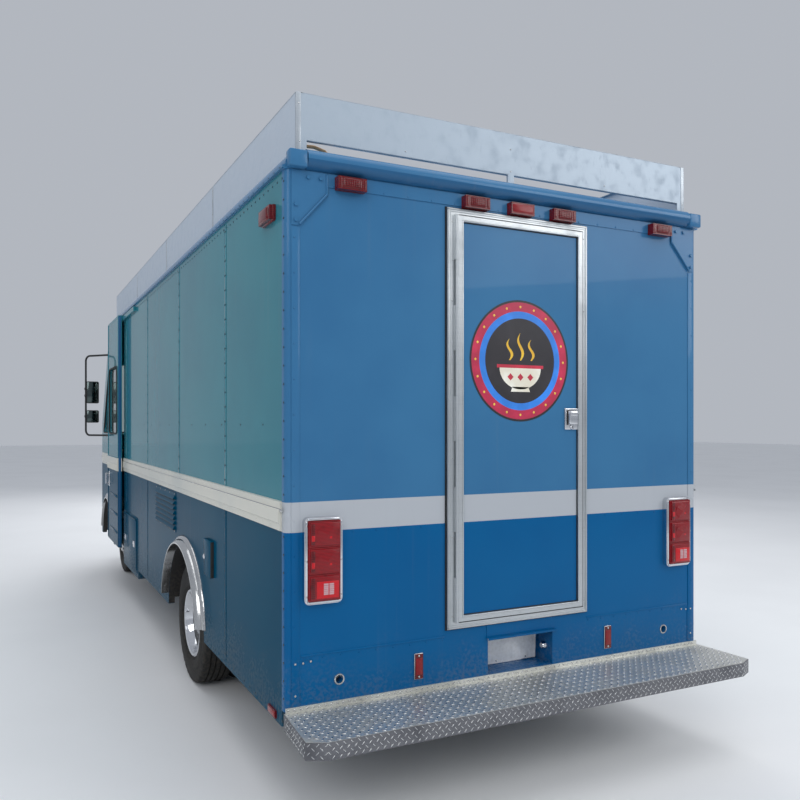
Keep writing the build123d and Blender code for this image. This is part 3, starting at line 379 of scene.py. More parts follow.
def van_paint(name, upper, lower, stripe_or_shade_band, coat=0.22, ior=1.38, level=REFLECTION_LEVEL,
              band=STRIPE_BAND, shine=0.3, upper_coat=None):
    """Gloss paint on riveted sheet: the upper colour laid over the lower above the level, and a band colour
    where one is given. On the body blues the upper colour is a painted reflection; on the roof rail the band
    is painted shade.
    """
    finish = Finish(name, lower, 0.24, coat=coat, coat_rough=0.03, specular=shine)
    finish.shader.inputs["IOR"].default_value = ior
    finish.shader.inputs["Coat IOR"].default_value = ior
    # Above the level: on the body blues the upper colour is a painted reflection
    above = finish.use(LEVEL_BAND, Bottom=level, Top=9.0).outputs[0]
    finish.over(above, upper)
    if upper_coat is not None:
        finish.coated(above, coat, upper_coat)
    tone = finish.use(BLOTCHES, Scale=1.4, Low=0.35, High=0.75).outputs[0]
    finish.tinted(tone, (0.80, 0.85, 0.90, 1))
    # Band colour: the real belt band on the rear, cab doors and fascia, and painted shade under the roof rail
    if stripe_or_shade_band is not None:
        finish.over(finish.use(LEVEL_BAND, Bottom=band[0], Top=band[1]).outputs[0], stripe_or_shade_band)
    streaks = finish.use(RAIN_STREAKS, Amount=0.14).outputs[0]
    finish.over(streaks, GREY_FILM).duller(streaks, 0.5)
    dust = finish.use(ROAD_DUST, Clean_Above=0.75, Amount=0.35).outputs[0]
    finish.over(dust, DUST).duller(dust, 0.75)
    finish.bump(finish.use(SHEET_WAVES, Peel=0.012).outputs[0], 0.35, 0.012)
    return finish.mat


def bare_metal(name, colour, rough, dark, metal=1.0, blots=7.0, rear_shade_tint=None):
    """Mill or brushed sheet metal with handling marks; a tint darkens the sheet across the rear as painted
    shade.
    """
    finish = Finish(name, colour, rough, metal=metal)
    lines = finish.use(BRUSH_LINES)
    finish.over(lines.outputs["Mask"], dark)
    marks = finish.use(BLOTCHES, Scale=blots, Low=0.45, High=0.8).outputs[0]
    finish.over(marks, dark).duller(marks, min(rough + 0.22, 0.9))
    # Painted shade: darkens the rear face of the sheet
    if rear_shade_tint is not None:
        turn = finish.tree.nodes.new("ShaderNodeMapping")
        turn.inputs["Rotation"].default_value = (math.pi / 2, 0, 0)
        finish.tree.links.new(finish.place, turn.inputs["Vector"])
        band = finish.use(LEVEL_BAND, Bottom=-9.0, Top=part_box("parapet")[0][1] + 0.012)
        finish.tree.links.new(turn.outputs["Vector"], band.inputs["Vector"])
        finish.tinted(band.outputs[0], rear_shade_tint)
    finish.duller(lines.outputs["Scratches"], min(rough + 0.15, 0.9))
    finish.bump(lines.outputs["Mask"], 0.06, 0.002)
    return finish.mat


def dusty(name, colour, rough, metal=0.0, coat=0.0, amount=0.5, clean=1.1, scale=300.0):
    """Plain finish that has gathered road dust, with a fine grain."""
    finish = Finish(name, colour, rough, metal=metal, coat=coat)
    grain = finish.use(GRAIN, Scale=scale)
    tint = tuple(min(1.0, c * 1.5 + 0.004) for c in colour[:3]) + (1.0,)
    finish.over(finish.use(BLOTCHES, Scale=9.0, Low=0.4, High=0.8).outputs[0], tint)
    dust = finish.use(ROAD_DUST, Clean_Above=clean, Amount=amount).outputs[0]
    finish.over(dust, DUST).duller(dust, 0.9)
    finish.bump(grain.outputs["Height"], 0.12, 0.0015)
    return finish.mat


def lens(name, colour, deep, ribs):
    """Moulded lamp lens: ribbed inside, glossy outside, with a faint painted glow."""
    finish = Finish(name, colour, 0.16, coat=0.3, coat_rough=0.03, specular=0.3)
    # Faint emission in the lens colour: a painted glow, also on the reflectors, which are no lamps
    finish.shader.inputs["Emission Color"].default_value = colour
    finish.shader.inputs["Emission Strength"].default_value = 0.06
    wave = finish.tree.nodes.new("ShaderNodeTexWave")
    wave.bands_direction = "Z"
    wave.inputs["Scale"].default_value = ribs
    finish.tree.links.new(finish.place, wave.inputs["Vector"])
    finish.over(wave.outputs["Fac"], deep)
    finish.over(finish.use(BLOTCHES, Scale=30.0, Low=0.5, High=0.8).outputs[0], deep)
    finish.bump(wave.outputs["Fac"], 0.25, 0.002)
    return finish.mat


def pane(name, colour):
    """Flat window glass."""
    finish = Finish(name, colour, 0.02)
    finish.shader.inputs["Transmission Weight"].default_value = 0.92
    finish.shader.inputs["IOR"].default_value = 1.45
    film = finish.use(BLOTCHES, Scale=5.0, Low=0.5, High=0.9).outputs[0]
    finish.duller(film, 0.09)
    return finish.mat


PAINT_REAR = van_paint("paint_rear", BLUE_PAINTED_SKY_REFLECTION, BLUE_LOWER, STRIPE, coat=0.08, shine=0.16, upper_coat=0.24)
SIDE_GLOSS = {"coat": 0.06, "ior": 1.40, "shine": 0.02, "upper_coat": 0.6}
PAINT_SIDE = van_paint("paint_side", SIDE_PAINTED_REFLECTION, SIDE_BLUE_PAINTED_SHADE, None, **SIDE_GLOSS)
PAINT_BANDED = van_paint("paint_banded", SIDE_PAINTED_REFLECTION, SIDE_BLUE_PAINTED_SHADE, CREAM, **SIDE_GLOSS)
PAINT_ROOF = van_paint("paint_roof", BLUE_PAINTED_SKY_REFLECTION, BLUE_PAINTED_SKY_REFLECTION, None)
PAINT_CAB = van_paint("paint_cab", BLUE_PAINTED_SKY_REFLECTION, SIDE_PAINTED_REFLECTION, None, coat=0.55, ior=1.40, level=2.80, shine=0.1)
PAINT_BELT = van_paint("paint_belt", SIDE_PAINTED_REFLECTION, CREAM, None, level=2.0)
# Cab doors' rear edges: darker blue as painted shade
DOOR_EDGE_PAINTED_SHADE = van_paint("door_edge_painted_shade", RAIL_PAINTED_SHADE, RAIL_PAINTED_SHADE, None)
# Roof rail: painted shade on the band along its lower half
PAINT_RAIL = van_paint("paint_roof_rail", BLUE_PAINTED_SKY_REFLECTION, BLUE_PAINTED_SKY_REFLECTION, RAIL_PAINTED_SHADE, band=(2.789, 2.832))
SHEET = bare_metal("mill_sheet", srgb(196, 203, 208), 0.42, srgb(166, 174, 182), metal=0.75)
# Parapet sheet: its rear face darkened as painted shade
PARAPET_SHEET = bare_metal("parapet_sheet", srgb(198, 208, 219), 0.5, srgb(193, 204, 216),
                           metal=0.45, blots=14.0, rear_shade_tint=(0.76, 0.79, 0.80, 1))
FRAME_ALLOY = bare_metal("door_alloy", srgb(200, 204, 206), 0.36, srgb(180, 185, 188))
STEEL = bare_metal("polished_steel", srgb(214, 214, 212), 0.13, srgb(178, 180, 182))
BRIGHT = bare_metal("bright_plate", srgb(226, 227, 230), 0.06, srgb(200, 202, 206))
TREAD = bare_metal("tread_plate", srgb(238, 238, 233), 0.42, srgb(190, 190, 184), metal=0.85)
# Darker copy of the tread plate for the step's upright face: painted shade
TREAD_FACE_PAINTED_SHADE = bare_metal("tread_plate_face_painted_shade", srgb(128, 129, 133), 0.5, srgb(96, 97, 102), metal=0.6)
RED_LENS = lens("red_lens", srgb(150, 10, 22), srgb(96, 4, 14), 55.0)
# Bright clear red: the bottom lamp's clear lens, and small patches in the upper lamps, one of them a painted
# glint
RED_CLEAR_AND_GLINT = lens("clear_red_and_glint", srgb(206, 20, 32), srgb(170, 8, 20), 70.0)
DARK_RED = lens("marker_red", srgb(112, 8, 18), srgb(66, 3, 10), 40.0)
AMBER = lens("amber_lens", srgb(226, 128, 16), srgb(176, 84, 8), 55.0)
CLEAR_GRID = lens("clear_reflector", srgb(206, 176, 180), srgb(176, 128, 136), 90.0)
GLASS = pane("window_glass", srgb(196, 210, 206))
LAMP_GLASS = pane("lamp_glass", srgb(232, 236, 238))
BLACK = dusty("chassis_black", srgb(24, 24, 26), 0.5, amount=0.2)
RUBBER = dusty("seal_rubber", srgb(24, 24, 25), 0.65, amount=0.3)
TYRE = dusty("tyre_rubber", srgb(17, 18, 18), 0.82, amount=0.13, clean=0.9, scale=500.0)
CAST = dusty("cast_iron", srgb(66, 64, 62), 0.6, metal=0.6)
PIPE = bare_metal("pipe_steel", srgb(140, 132, 124), 0.45, srgb(104, 90, 78))
WHEEL = dusty("wheel_silver", srgb(176, 178, 180), 0.3, metal=0.85, coat=0.3, amount=0.35, clean=0.6)
FLOOR_SHEET = bare_metal("floor_sheet", srgb(150, 152, 154), 0.4, srgb(112, 112, 112))
PLASTIC = dusty("cab_plastic", srgb(44, 45, 48), 0.55, amount=0.1, scale=700.0)
VINYL = dusty("seat_vinyl", srgb(40, 41, 45), 0.42, amount=0.05, scale=520.0)
WHITE_PLATE = dusty("blank_plate", srgb(226, 228, 230), 0.35, coat=0.3, amount=0.2)
MIRROR = bare_metal("mirror_glass", srgb(84, 94, 94), 0.03, srgb(72, 82, 82))
# Dark teal for rivet and screw heads on the side walls and gutters: painted shadow
RIVET_PAINTED_SHADOW = dusty("rivet_painted_shadow", srgb(16, 48, 62), 0.45, amount=0.2)

FINISHES = {
    "rear_wall": PAINT_REAR, "rear_door": PAINT_REAR, "roof": PAINT_ROOF, "rear_roof_rail": PAINT_RAIL,
    "left_wall": PAINT_SIDE, "right_wall": PAINT_SIDE, "serving_hatch": PAINT_SIDE,
    "utility_box": PAINT_SIDE, "side_vent": PAINT_SIDE, "cab_side_left": PAINT_SIDE,
    "cab_side_right": PAINT_SIDE, "front_fascia": PAINT_BANDED, "cab_upper": PAINT_CAB,
    "cab_door_left": PAINT_BANDED, "cab_door_right": PAINT_BANDED, "side_rails": PAINT_BELT,
    "parapet": PARAPET_SHEET, "rear_door_frame": FRAME_ALLOY, "rear_door_edge": FRAME_ALLOY,
    "partition": FLOOR_SHEET, "roof_fan": SHEET, "rear_bumper": TREAD, "arch_trims": STEEL,
    "serving_counter": STEEL, "rear_door_latch": BRIGHT, "tail_lamp_bezels": BRIGHT,
    "front_bumper": BRIGHT, "grille": BRIGHT, "tail_lamp_lenses": RED_LENS, "red_markers": DARK_RED,
    "amber_lamps": AMBER, "headlamps": BRIGHT, "cab_glass": GLASS, "cab_door_glass_left": GLASS,
    "cab_door_glass_right": GLASS, "chassis_frame": BLACK, "front_axle": BLACK, "rear_axle": BLACK,
    "leaf_springs": BLACK, "knuckle_left": CAST, "knuckle_right": CAST, "seat_pedestal": BLACK,
    "mirrors": BLACK, "wells": BLACK, "engine_block": CAST, "exhaust_system": PIPE,
    "fuel_tank": BLACK, "floor": FLOOR_SHEET, "dashboard": PLASTIC, "steering_wheel": PLASTIC,
    "front_rim_left": WHEEL, "front_rim_right": WHEEL, "rear_rims_left": WHEEL,
    "rear_rims_right": WHEEL,
}
for node, material in FINISHES.items():
    mesh = cad[node].data
    mesh.materials.clear()
    mesh.materials.append(material)


# Mesh making


def finish_piece(name, bm, material, body, smooth=math.radians(35)):
    """Turns a bmesh into a piece that rides on a body."""
    bmesh.ops.remove_doubles(bm, verts=bm.verts, dist=1e-6)
    bmesh.ops.recalc_face_normals(bm, faces=bm.faces)
    mesh = bpy.data.meshes.new(name)
    bm.to_mesh(mesh)
    bm.free()
    mesh.materials.append(material)
    mesh.shade_smooth()
    mesh.set_sharp_from_angle(angle=smooth)
    obj = bpy.data.objects.new(name, mesh)
    bpy.context.collection.objects.link(obj)
    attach(obj, body)
    return obj


def slab(bm, low, high, bevel=0.0, segments=2):
    """Block between two corners, with rounded edges."""
    low, high = [min(a, b) for a, b in zip(low, high)], [max(a, b) for a, b in zip(low, high)]
    size = [b - a for a, b in zip(low, high)]
    centre = [(a + b) / 2 for a, b in zip(low, high)]
    made = bmesh.ops.create_cube(bm, size=1.0, matrix=Matrix.LocRotScale(centre, None, size))
    if bevel > 0:
        edges = list({edge for vert in made["verts"] for edge in vert.link_edges})
        bmesh.ops.bevel(
            bm, geom=edges, offset=min(bevel, 0.45 * min(size)), offset_type="OFFSET", segments=segments,
            profile=0.5, affect="EDGES",
        )


def turned(bm, profile, centre, axis, steps=48, closed=True):
    """Solid turned from (radius, height) points about an axis through centre."""
    axis = Vector(axis).normalized()
    across = axis.orthogonal().normalized()
    over = axis.cross(across)
    rings = []
    for step in range(steps):
        angle = 2 * math.pi * step / steps
        out = across * math.cos(angle) + over * math.sin(angle)
        rings.append([
            bm.verts.new(Vector(centre) + out * radius + axis * height) for radius, height in profile
        ])
    count = len(profile)
    for step in range(steps):
        here, there = rings[step], rings[(step + 1) % steps]
        for k in range(count if closed else count - 1):
            n = (k + 1) % count
            if profile[k][0] < 1e-9 and profile[n][0] < 1e-9:
                continue
            bm.faces.new((here[k], here[n], there[n], there[k]))


def rod(bm, start, end, radius, steps=16):
    """Round bar between two points."""
    start, end = Vector(start), Vector(end)
    length = (end - start).length
    soft = min(radius * 0.3, length * 0.2)
    turned(
        bm, [(0, 0), (radius - soft, 0), (radius, soft), (radius, length - soft),
             (radius - soft, length), (0, length)],
        start, end - start, steps, closed=False,
    )


def placed_slab(bm, matrix, low, high, bevel=0.0, segments=2):
    """Block between two corners, moved and turned by a matrix."""
    before = set(bm.verts)
    slab(bm, low, high, bevel, segments)
    fresh = [vert for vert in bm.verts if vert not in before]
    bmesh.ops.transform(bm, matrix=matrix, verts=fresh)


def border(bm, box, near, far, depth, bevel, segments=2, sideways=False):
    """Four strips along the edge of an upright box, from near to far inside it."""
    x0, x1, z0, z1 = box
    left, right, low, high = x0 + near, x1 - near, z0 + near, z1 - near
    for a, b in (((left, low), (x0 + far, high)), ((right, low), (x1 - far, high)),
                 ((left, high), (right, z1 - far)), ((left, low), (right, z0 + far))):
        start = (depth[0], *a) if sideways else (a[0], depth[0], a[1])
        end = (depth[1], *b) if sideways else (b[0], depth[1], b[1])
        slab(bm, start, end, bevel, segments)


def tube_along(name, points, radius, material, body, cyclic=False):
    """Smooth round tube through points, as a mesh piece."""
    curve = bpy.data.curves.new(name, "CURVE")
    curve.dimensions = "3D"
    curve.bevel_depth = radius
    curve.bevel_resolution = 3
    curve.resolution_u = 6
    curve.use_fill_caps = True
    line = curve.splines.new("POLY")
    line.points.add(len(points) - 1)
    for point, place in zip(line.points, points):
        point.co = (*place, 1)
    line.use_cyclic_u = cyclic
    holder = bpy.data.objects.new(name + "_line", curve)
    bpy.context.collection.objects.link(holder)
    mesh = bpy.data.meshes.new_from_object(holder.evaluated_get(bpy.context.evaluated_depsgraph_get()))
    bpy.data.objects.remove(holder)
    bm = bmesh.new()
    bm.from_mesh(mesh)
    bpy.data.meshes.remove(mesh)
    return finish_piece(name, bm, material, body)


# Geometry Nodes: heads set on marked points


def head_tree(name, hexagon):
    """Tree that sets a domed or six-sided head on each point, facing and turned as marked there."""
    tree = bpy.data.node_groups.new(name, "GeometryNodeTree")
    face = tree.interface
    face.new_socket(name="Points", in_out="INPUT", socket_type="NodeSocketGeometry")
    for label, value in (("Length", 0.012), ("Width", 0.012), ("Height", 0.004)):
        face.new_socket(name=label, in_out="INPUT", socket_type="NodeSocketFloat").default_value = value
    face.new_socket(name="Finish", in_out="INPUT", socket_type="NodeSocketMaterial")
    face.new_socket(name="Heads", in_out="OUTPUT", socket_type="NodeSocketGeometry")
    add = tree.nodes.new
    inp, out = add("NodeGroupInput"), add("NodeGroupOutput")
    facing, along = add("GeometryNodeInputNamedAttribute"), add("GeometryNodeInputNamedAttribute")
    for node, label in ((facing, "facing"), (along, "along")):
        node.data_type = "FLOAT_VECTOR"
        node.inputs["Name"].default_value = label
    stand, turn = add("FunctionNodeAlignRotationToVector"), add("FunctionNodeAlignRotationToVector")
    stand.axis = "Z"
    turn.axis = "X"
    turn.pivot_axis = "Z"
    if hexagon:
        head = add("GeometryNodeMeshCylinder")
        head.inputs["Vertices"].default_value = 6
        head.inputs["Depth"].default_value = 2.0
    else:
        head = add("GeometryNodeMeshUVSphere")
        head.inputs["Segments"].default_value = 8
        head.inputs["Rings"].default_value = 5
    head.inputs["Radius"].default_value = 0.5
    size = add("ShaderNodeCombineXYZ")
    place = add("GeometryNodeInstanceOnPoints")
    real = add("GeometryNodeRealizeInstances")
    paint = add("GeometryNodeSetMaterial")
    link = tree.links.new
    link(facing.outputs["Attribute"], stand.inputs["Vector"])
    link(stand.outputs["Rotation"], turn.inputs["Rotation"])
    link(along.outputs["Attribute"], turn.inputs["Vector"])
    link(inp.outputs["Length"], size.inputs[0])
    link(inp.outputs["Width"], size.inputs[1])
    link(inp.outputs["Height"], size.inputs[2])
    link(inp.outputs["Points"], place.inputs["Points"])
    link(head.outputs["Mesh"], place.inputs["Instance"])
    link(turn.outputs["Rotation"], place.inputs["Rotation"])
    link(size.outputs[0], place.inputs["Scale"])
    link(place.outputs["Instances"], real.inputs["Geometry"])
    link(real.outputs["Geometry"], paint.inputs["Geometry"])
    link(inp.outputs["Finish"], paint.inputs["Material"])
    link(paint.outputs["Geometry"], out.inputs["Heads"])
    return tree


DOME_HEADS = head_tree("dome_heads", False)
HEX_HEADS = head_tree("hex_heads", True)


def set_heads(name, tree, marks, length, width, height, material, body):
    """Piece of heads on marks, each (place, facing, along)."""
    mesh = bpy.data.meshes.new(name + "_marks")
    mesh.from_pydata([mark[0] for mark in marks], [], [])
    for column, label in ((1, "facing"), (2, "along")):
        store = mesh.attributes.new(label, "FLOAT_VECTOR", "POINT")
        store.data.foreach_set("vector", [c for mark in marks for c in mark[column]])
    holder = bpy.data.objects.new(name + "_marks", mesh)
    bpy.context.collection.objects.link(holder)
    modifier = holder.modifiers.new("heads", "NODES")
    modifier.node_group = tree
    values = {"Length": length, "Width": width, "Height": height, "Finish": material}
    for item in tree.interface.items_tree:
        if item.in_out == "INPUT" and item.name in values:
            modifier[item.identifier] = values[item.name]
    holder.update_tag()
    graph = bpy.context.evaluated_depsgraph_get()
    made = bpy.data.meshes.new_from_object(holder.evaluated_get(graph))
    bpy.data.objects.remove(holder)
    for label in ("facing", "along"):
        if label in made.attributes:
            made.attributes.remove(made.attributes[label])
    made.name = name
    made.materials.clear()
    made.materials.append(material)
    made.shade_smooth()
    if tree is HEX_HEADS:
        made.set_sharp_from_angle(angle=math.radians(30))
    obj = bpy.data.objects.new(name, made)
    bpy.context.collection.objects.link(obj)
    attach(obj, body)
    return obj


def round_heads(name, marks, across, height, material, body="truck"):
    """Piece of domed heads on marks."""
    return set_heads(name, DOME_HEADS, marks, across, across, height, material, body)


def hex_heads(name, marks, across, height, material, body="truck"):
    """Piece of six-sided heads on marks."""
    return set_heads(name, HEX_HEADS, marks, across, across, height, material, body)


def row(start, end, pitch, facing, along=None):
    """Marks at an even pitch from one point to another."""
    start, end = Vector(start), Vector(end)
    count = max(1, round((end - start).length / pitch))
    direction = tuple(along) if along else tuple((end - start).normalized())
    return [(tuple(start.lerp(end, k / count)), facing, direction) for k in range(count + 1)]


# Tyres: sidewalls, grooves and shoulder blocks moulded over the plain ones


def moulded_tyre(bm, centre_x, axle_y):
    """Tyre with four tread grooves, shoulder blocks and a ribbed sidewall."""
    half, radius = TYRE_W / 2, TYRE_R
    tread = half - 0.026
    section = [(-0.076, 0.2205), (-0.082, 0.224), (-0.094, 0.240), (-0.099, 0.245), (-0.1045, 0.262),
               (-0.1075, 0.292), (-0.1065, 0.318), (-0.1045, 0.322), (-0.1035, 0.344), (-0.0985, 0.370)]
    crown = [(-0.0935, 0.379)]
    grooves = (-0.052, -0.018, 0.018, 0.052)
    for groove in grooves:
        crown += [(groove - 0.0055, radius), (groove - 0.004, radius - 0.013),
                  (groove + 0.004, radius - 0.013), (groove + 0.0055, radius)]
    crown.insert(1, (-tread, radius - 0.0012))
    crown += [(tread, radius - 0.0012), (0.0935, 0.379)]
    loop = section + crown + [(-x, r) for x, r in reversed(section)]
    loop += [(0.076, 0.2035), (-0.076, 0.2035)]
    steps = 144
    shoulder = {k for k, (x, r) in enumerate(loop) if r > 0.368 and abs(x) > 0.07}
    rings = []
    for step in range(steps):
        angle = 2 * math.pi * step / steps
        sunk = 0.009 if step % 4 == 0 else 0.0
        ring = []
        for k, (x, r) in enumerate(loop):
            r = r - sunk if k in shoulder else r
            y, z = axle_y + r * math.cos(angle), HUB_Z + r * math.sin(angle)
            ring.append(bm.verts.new((centre_x + x, y, z)))
        rings.append(ring)
    count = len(loop)
    for step in range(steps):
        here, there = rings[step], rings[(step + 1) % steps]
        for k in range(count):
            n = (k + 1) % count
            bm.faces.new((here[k], here[n], there[n], there[k]))


WHEELS = (
    ("front_tyre", "front_wheel", FRONT_AXLE, (0.950,), 1),
    ("rear_tyres", "rear_wheels", REAR_AXLE, (1.08, 0.83), -1),
)
for node, body, axle_y, centres, dish in WHEELS:
    for word, letter, side in (("left", "l", -1), ("right", "r", 1)):
        bm = bmesh.new()
        for centre in centres:
            moulded_tyre(bm, side * centre, axle_y)
        tyre = finish_piece(f"{node}_{word}_tread", bm, TYRE, f"{body}_{letter}")
        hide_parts(f"{node}_{word}")

# Wheel nuts, hub bolts, hub caps and valve stems
for node, body, axle_y, centres, dish in WHEELS:
    for letter, side in LETTERED:
        facing = OUTWARD[side]
        disc_x = side * (centres[0] + dish * 0.125)
        nuts = []
        ring_nuts = []
        hub_tip = side * (centres[0] + 0.050) if dish < 0 else side * (0.905 + 0.204)
        for step in range(8):
            angle = 2 * math.pi * (step + 0.5) / 8
            spoke = (0.0, math.cos(angle), math.sin(angle))
            face_x = disc_x + (0.003 * side if dish > 0 else 0.013 * side)
            nuts.append(((face_x, axle_y + 0.104 * spoke[1], HUB_Z + 0.104 * spoke[2]), facing, spoke))
            ring_nuts.append(((hub_tip, axle_y + 0.048 * spoke[1], HUB_Z + 0.048 * spoke[2]), facing, spoke))
        hex_heads(f"wheel_nuts_{body}_{letter}", nuts, 0.034, 0.022, BRIGHT, f"{body}_{letter}")
        hex_heads(f"hub_bolts_{body}_{letter}", ring_nuts, 0.017, 0.010, STEEL,
                  f"{body}_{letter}")
        bm = bmesh.new()
        turned(bm, [(0, 0.0), (0.034, 0.0), (0.034, 0.010), (0.029, 0.020), (0.012, 0.024), (0, 0.024)],
               (hub_tip, axle_y, HUB_Z), OUTWARD[side], 40, closed=False)
        stem = Vector((side * (centres[0] + 0.066), axle_y + 0.185, HUB_Z + 0.03))
        rod(bm, stem, stem + Vector((side * 0.028, -0.012, 0)), 0.0045, 10)
        finish_piece(f"hub_cap_{body}_{letter}", bm, BRIGHT, f"{body}_{letter}")

# Bright trim rings in the rear wheels and dark linings in the wheel openings
for letter, side in LETTERED:
    bm = bmesh.new()
    turned(bm, [(0.2195, 0.0005), (0.2215, 0.005), (0.214, 0.0095), (0.200, 0.006), (0.190, -0.012),
                (0.178, -0.042), (0.1745, -0.042), (0.186, -0.012), (0.196, 0.003), (0.212, 0.0012)],
           (side * 1.1645, REAR_AXLE, HUB_Z), OUTWARD[side], 72)
    finish_piece(f"wheel_trim_ring_{letter}", bm, BRIGHT, f"rear_wheels_{letter}")
bm = bmesh.new()
for axle_y, radius, thick in ((REAR_AXLE, 0.525, 0.0028), (FRONT_AXLE, 0.470, 0.0016)):
    start = math.asin((0.404 - HUB_Z) / radius)
    for side in SIDES:
        sections = []
        for step in range(49):
            angle = start + (math.pi - 2 * start) * step / 48
            sections.append([
                bm.verts.new((side * x, axle_y + r * math.cos(angle), HUB_Z + r * math.sin(angle)))
                for x, r in ((1.1757, radius - 0.0003), (1.2192, radius - 0.0003), (1.2192, radius - thick),
                             (1.1757, radius - thick))
            ])
        for here, there in zip(sections, sections[1:]):
            for k in range(4):
                n = (k + 1) % 4
                bm.faces.new((here[k], here[n], there[n], there[k]))
        bm.faces.new(sections[0])
        bm.faces.new(reversed(sections[-1]))
finish_piece("arch_linings", bm, BLACK, "truck")

# Rear step: raised lugs on its top, its lip against the wall, its rear face and its ends


def leaning(k):
    """Lean of a lug: to one side and to the other in turn."""
    return 1 if k % 2 else -1


def lugs_on_top(x_span, y_span, z, pitch):
    """Tread lugs on a level face, in columns that lean in turn and stand half a step apart."""
    marks = []
    for c in range(int((x_span[1] - x_span[0]) / pitch) + 1):
        for r in range(c % 2, int((y_span[1] - y_span[0]) / pitch) + 1, 2):
            place = (x_span[0] + c * pitch, y_span[0] + r * pitch, z)
            marks.append((place, UPWARD, (DIAGONAL, DIAGONAL * leaning(c), 0.0)))
    return marks


LUG_PITCH = 0.020
STEP_BACK, STEP_TIP = HALF + 0.006, HALF + 0.026
STEP_DEPTH = REAR - BUMPER_REAR
CUT_X, CUT_Y = 0.08, 0.035
FACE_PROUD = 0.0028
top_lugs = []
for mark in lugs_on_top((-STEP_TIP + 0.010, STEP_TIP - 0.010), (BUMPER_REAR + 0.012, REAR - 0.016),
                        BUMPER_TOP + 0.0002, LUG_PITCH):
    x, y, z = mark[0]
    clipped = max(0.0, (abs(x) - (STEP_TIP - CUT_X)) / CUT_X * CUT_Y)
    reach = STEP_TIP - (STEP_TIP - STEP_BACK) * (y - BUMPER_REAR) / STEP_DEPTH
    if y - BUMPER_REAR > clipped + 0.011 and abs(x) < reach - 0.008:
        top_lugs.append(mark)
set_heads("step_top_lugs", DOME_HEADS, top_lugs, 0.025, 0.0085, 0.0044, STEEL, "truck")
LIP_PITCH = 0.0285
lip_lugs = []
for c in range(int(2 * (HALF - 0.01) / LIP_PITCH) + 1):
    place = (-HALF + 0.012 + c * LIP_PITCH, REAR - 0.0052, BUMPER_TOP + 0.011)
    lip_lugs.append((place, REARWARD, (DIAGONAL, 0.0, DIAGONAL * leaning(c))))
set_heads("step_lip_lugs", DOME_HEADS, lip_lugs, 0.018, 0.006, 0.003, STEEL, "truck")
FACE_PITCH = 0.016
FACE_LEVELS = ((0.0115, 0.0435), (0.0275, 0.0595))
face_lugs = []
for c in range(int(2 * (STEP_TIP - 0.085) / FACE_PITCH) + 1):
    for level in FACE_LEVELS[c % 2]:
        place = (-STEP_TIP + 0.085 + c * FACE_PITCH, BUMPER_REAR - FACE_PROUD, BUMPER_TOP - level)
        face_lugs.append((place, REARWARD, (DIAGONAL, 0.0, DIAGONAL * leaning(c))))
for side in SIDES:
    for k in range(5):
        for level in FACE_LEVELS[k % 2]:
            share = (k + 0.5) / 5
            x = side * (STEP_TIP - CUT_X + CUT_X * share)
            y = BUMPER_REAR - FACE_PROUD + CUT_Y * share
            along = Vector((side * 0.916, 0.4, leaning(k))).normalized()
            face_lugs.append(((x, y, BUMPER_TOP - level), (side * 0.4, -0.916, 0.0), tuple(along)))
    for k in range(17):
        for level in FACE_LEVELS[k % 2]:
            y = BUMPER_REAR + 0.045 + k * FACE_PITCH
            x = STEP_TIP - (STEP_TIP - STEP_BACK) * (y - BUMPER_REAR - CUT_Y) / (STEP_DEPTH - CUT_Y)
            place = (side * (x + FACE_PROUD), y, BUMPER_TOP - level)
            face_lugs.append((place, OUTWARD[side], (0.0, DIAGONAL, DIAGONAL * leaning(k))))
set_heads("step_face_lugs", DOME_HEADS, face_lugs, 0.021, 0.0045, 0.0032, STEEL, "truck")

# Step skirt: plate folded down over the step's edge, in a darker copy of the tread plate as painted shade
bm = bmesh.new()
skirt = [(-STEP_BACK, REAR - 0.004), (-STEP_TIP, BUMPER_REAR + CUT_Y), (-STEP_TIP + CUT_X, BUMPER_REAR),
         (STEP_TIP - CUT_X, BUMPER_REAR), (STEP_TIP, BUMPER_REAR + CUT_Y), (STEP_BACK, REAR - 0.004)]
outer = []
for k, (x, y) in enumerate(skirt):
    side = 1 if x > 0 else -1
    outer.append((x + side * (0.0026 if k in (0, 1, 4, 5) else 0.001), y - (0.0026 if 0 < k < 5 else 0.0)))
for k in range(5):
    corners = []
    for x, y in (skirt[k], skirt[k + 1], outer[k + 1], outer[k]):
        corners.append((bm.verts.new((x, y, BUMPER_TOP - 0.070)), bm.verts.new((x, y, BUMPER_TOP - 0.002))))
    for a in range(4):
        b = (a + 1) % 4
        bm.faces.new((corners[a][0], corners[b][0], corners[b][1], corners[a][1]))
    bm.faces.new([corner[1] for corner in corners])
    bm.faces.new([corner[0] for corner in reversed(corners)])
finish_piece("step_skirt", bm, TREAD_FACE_PAINTED_SHADE, "truck")

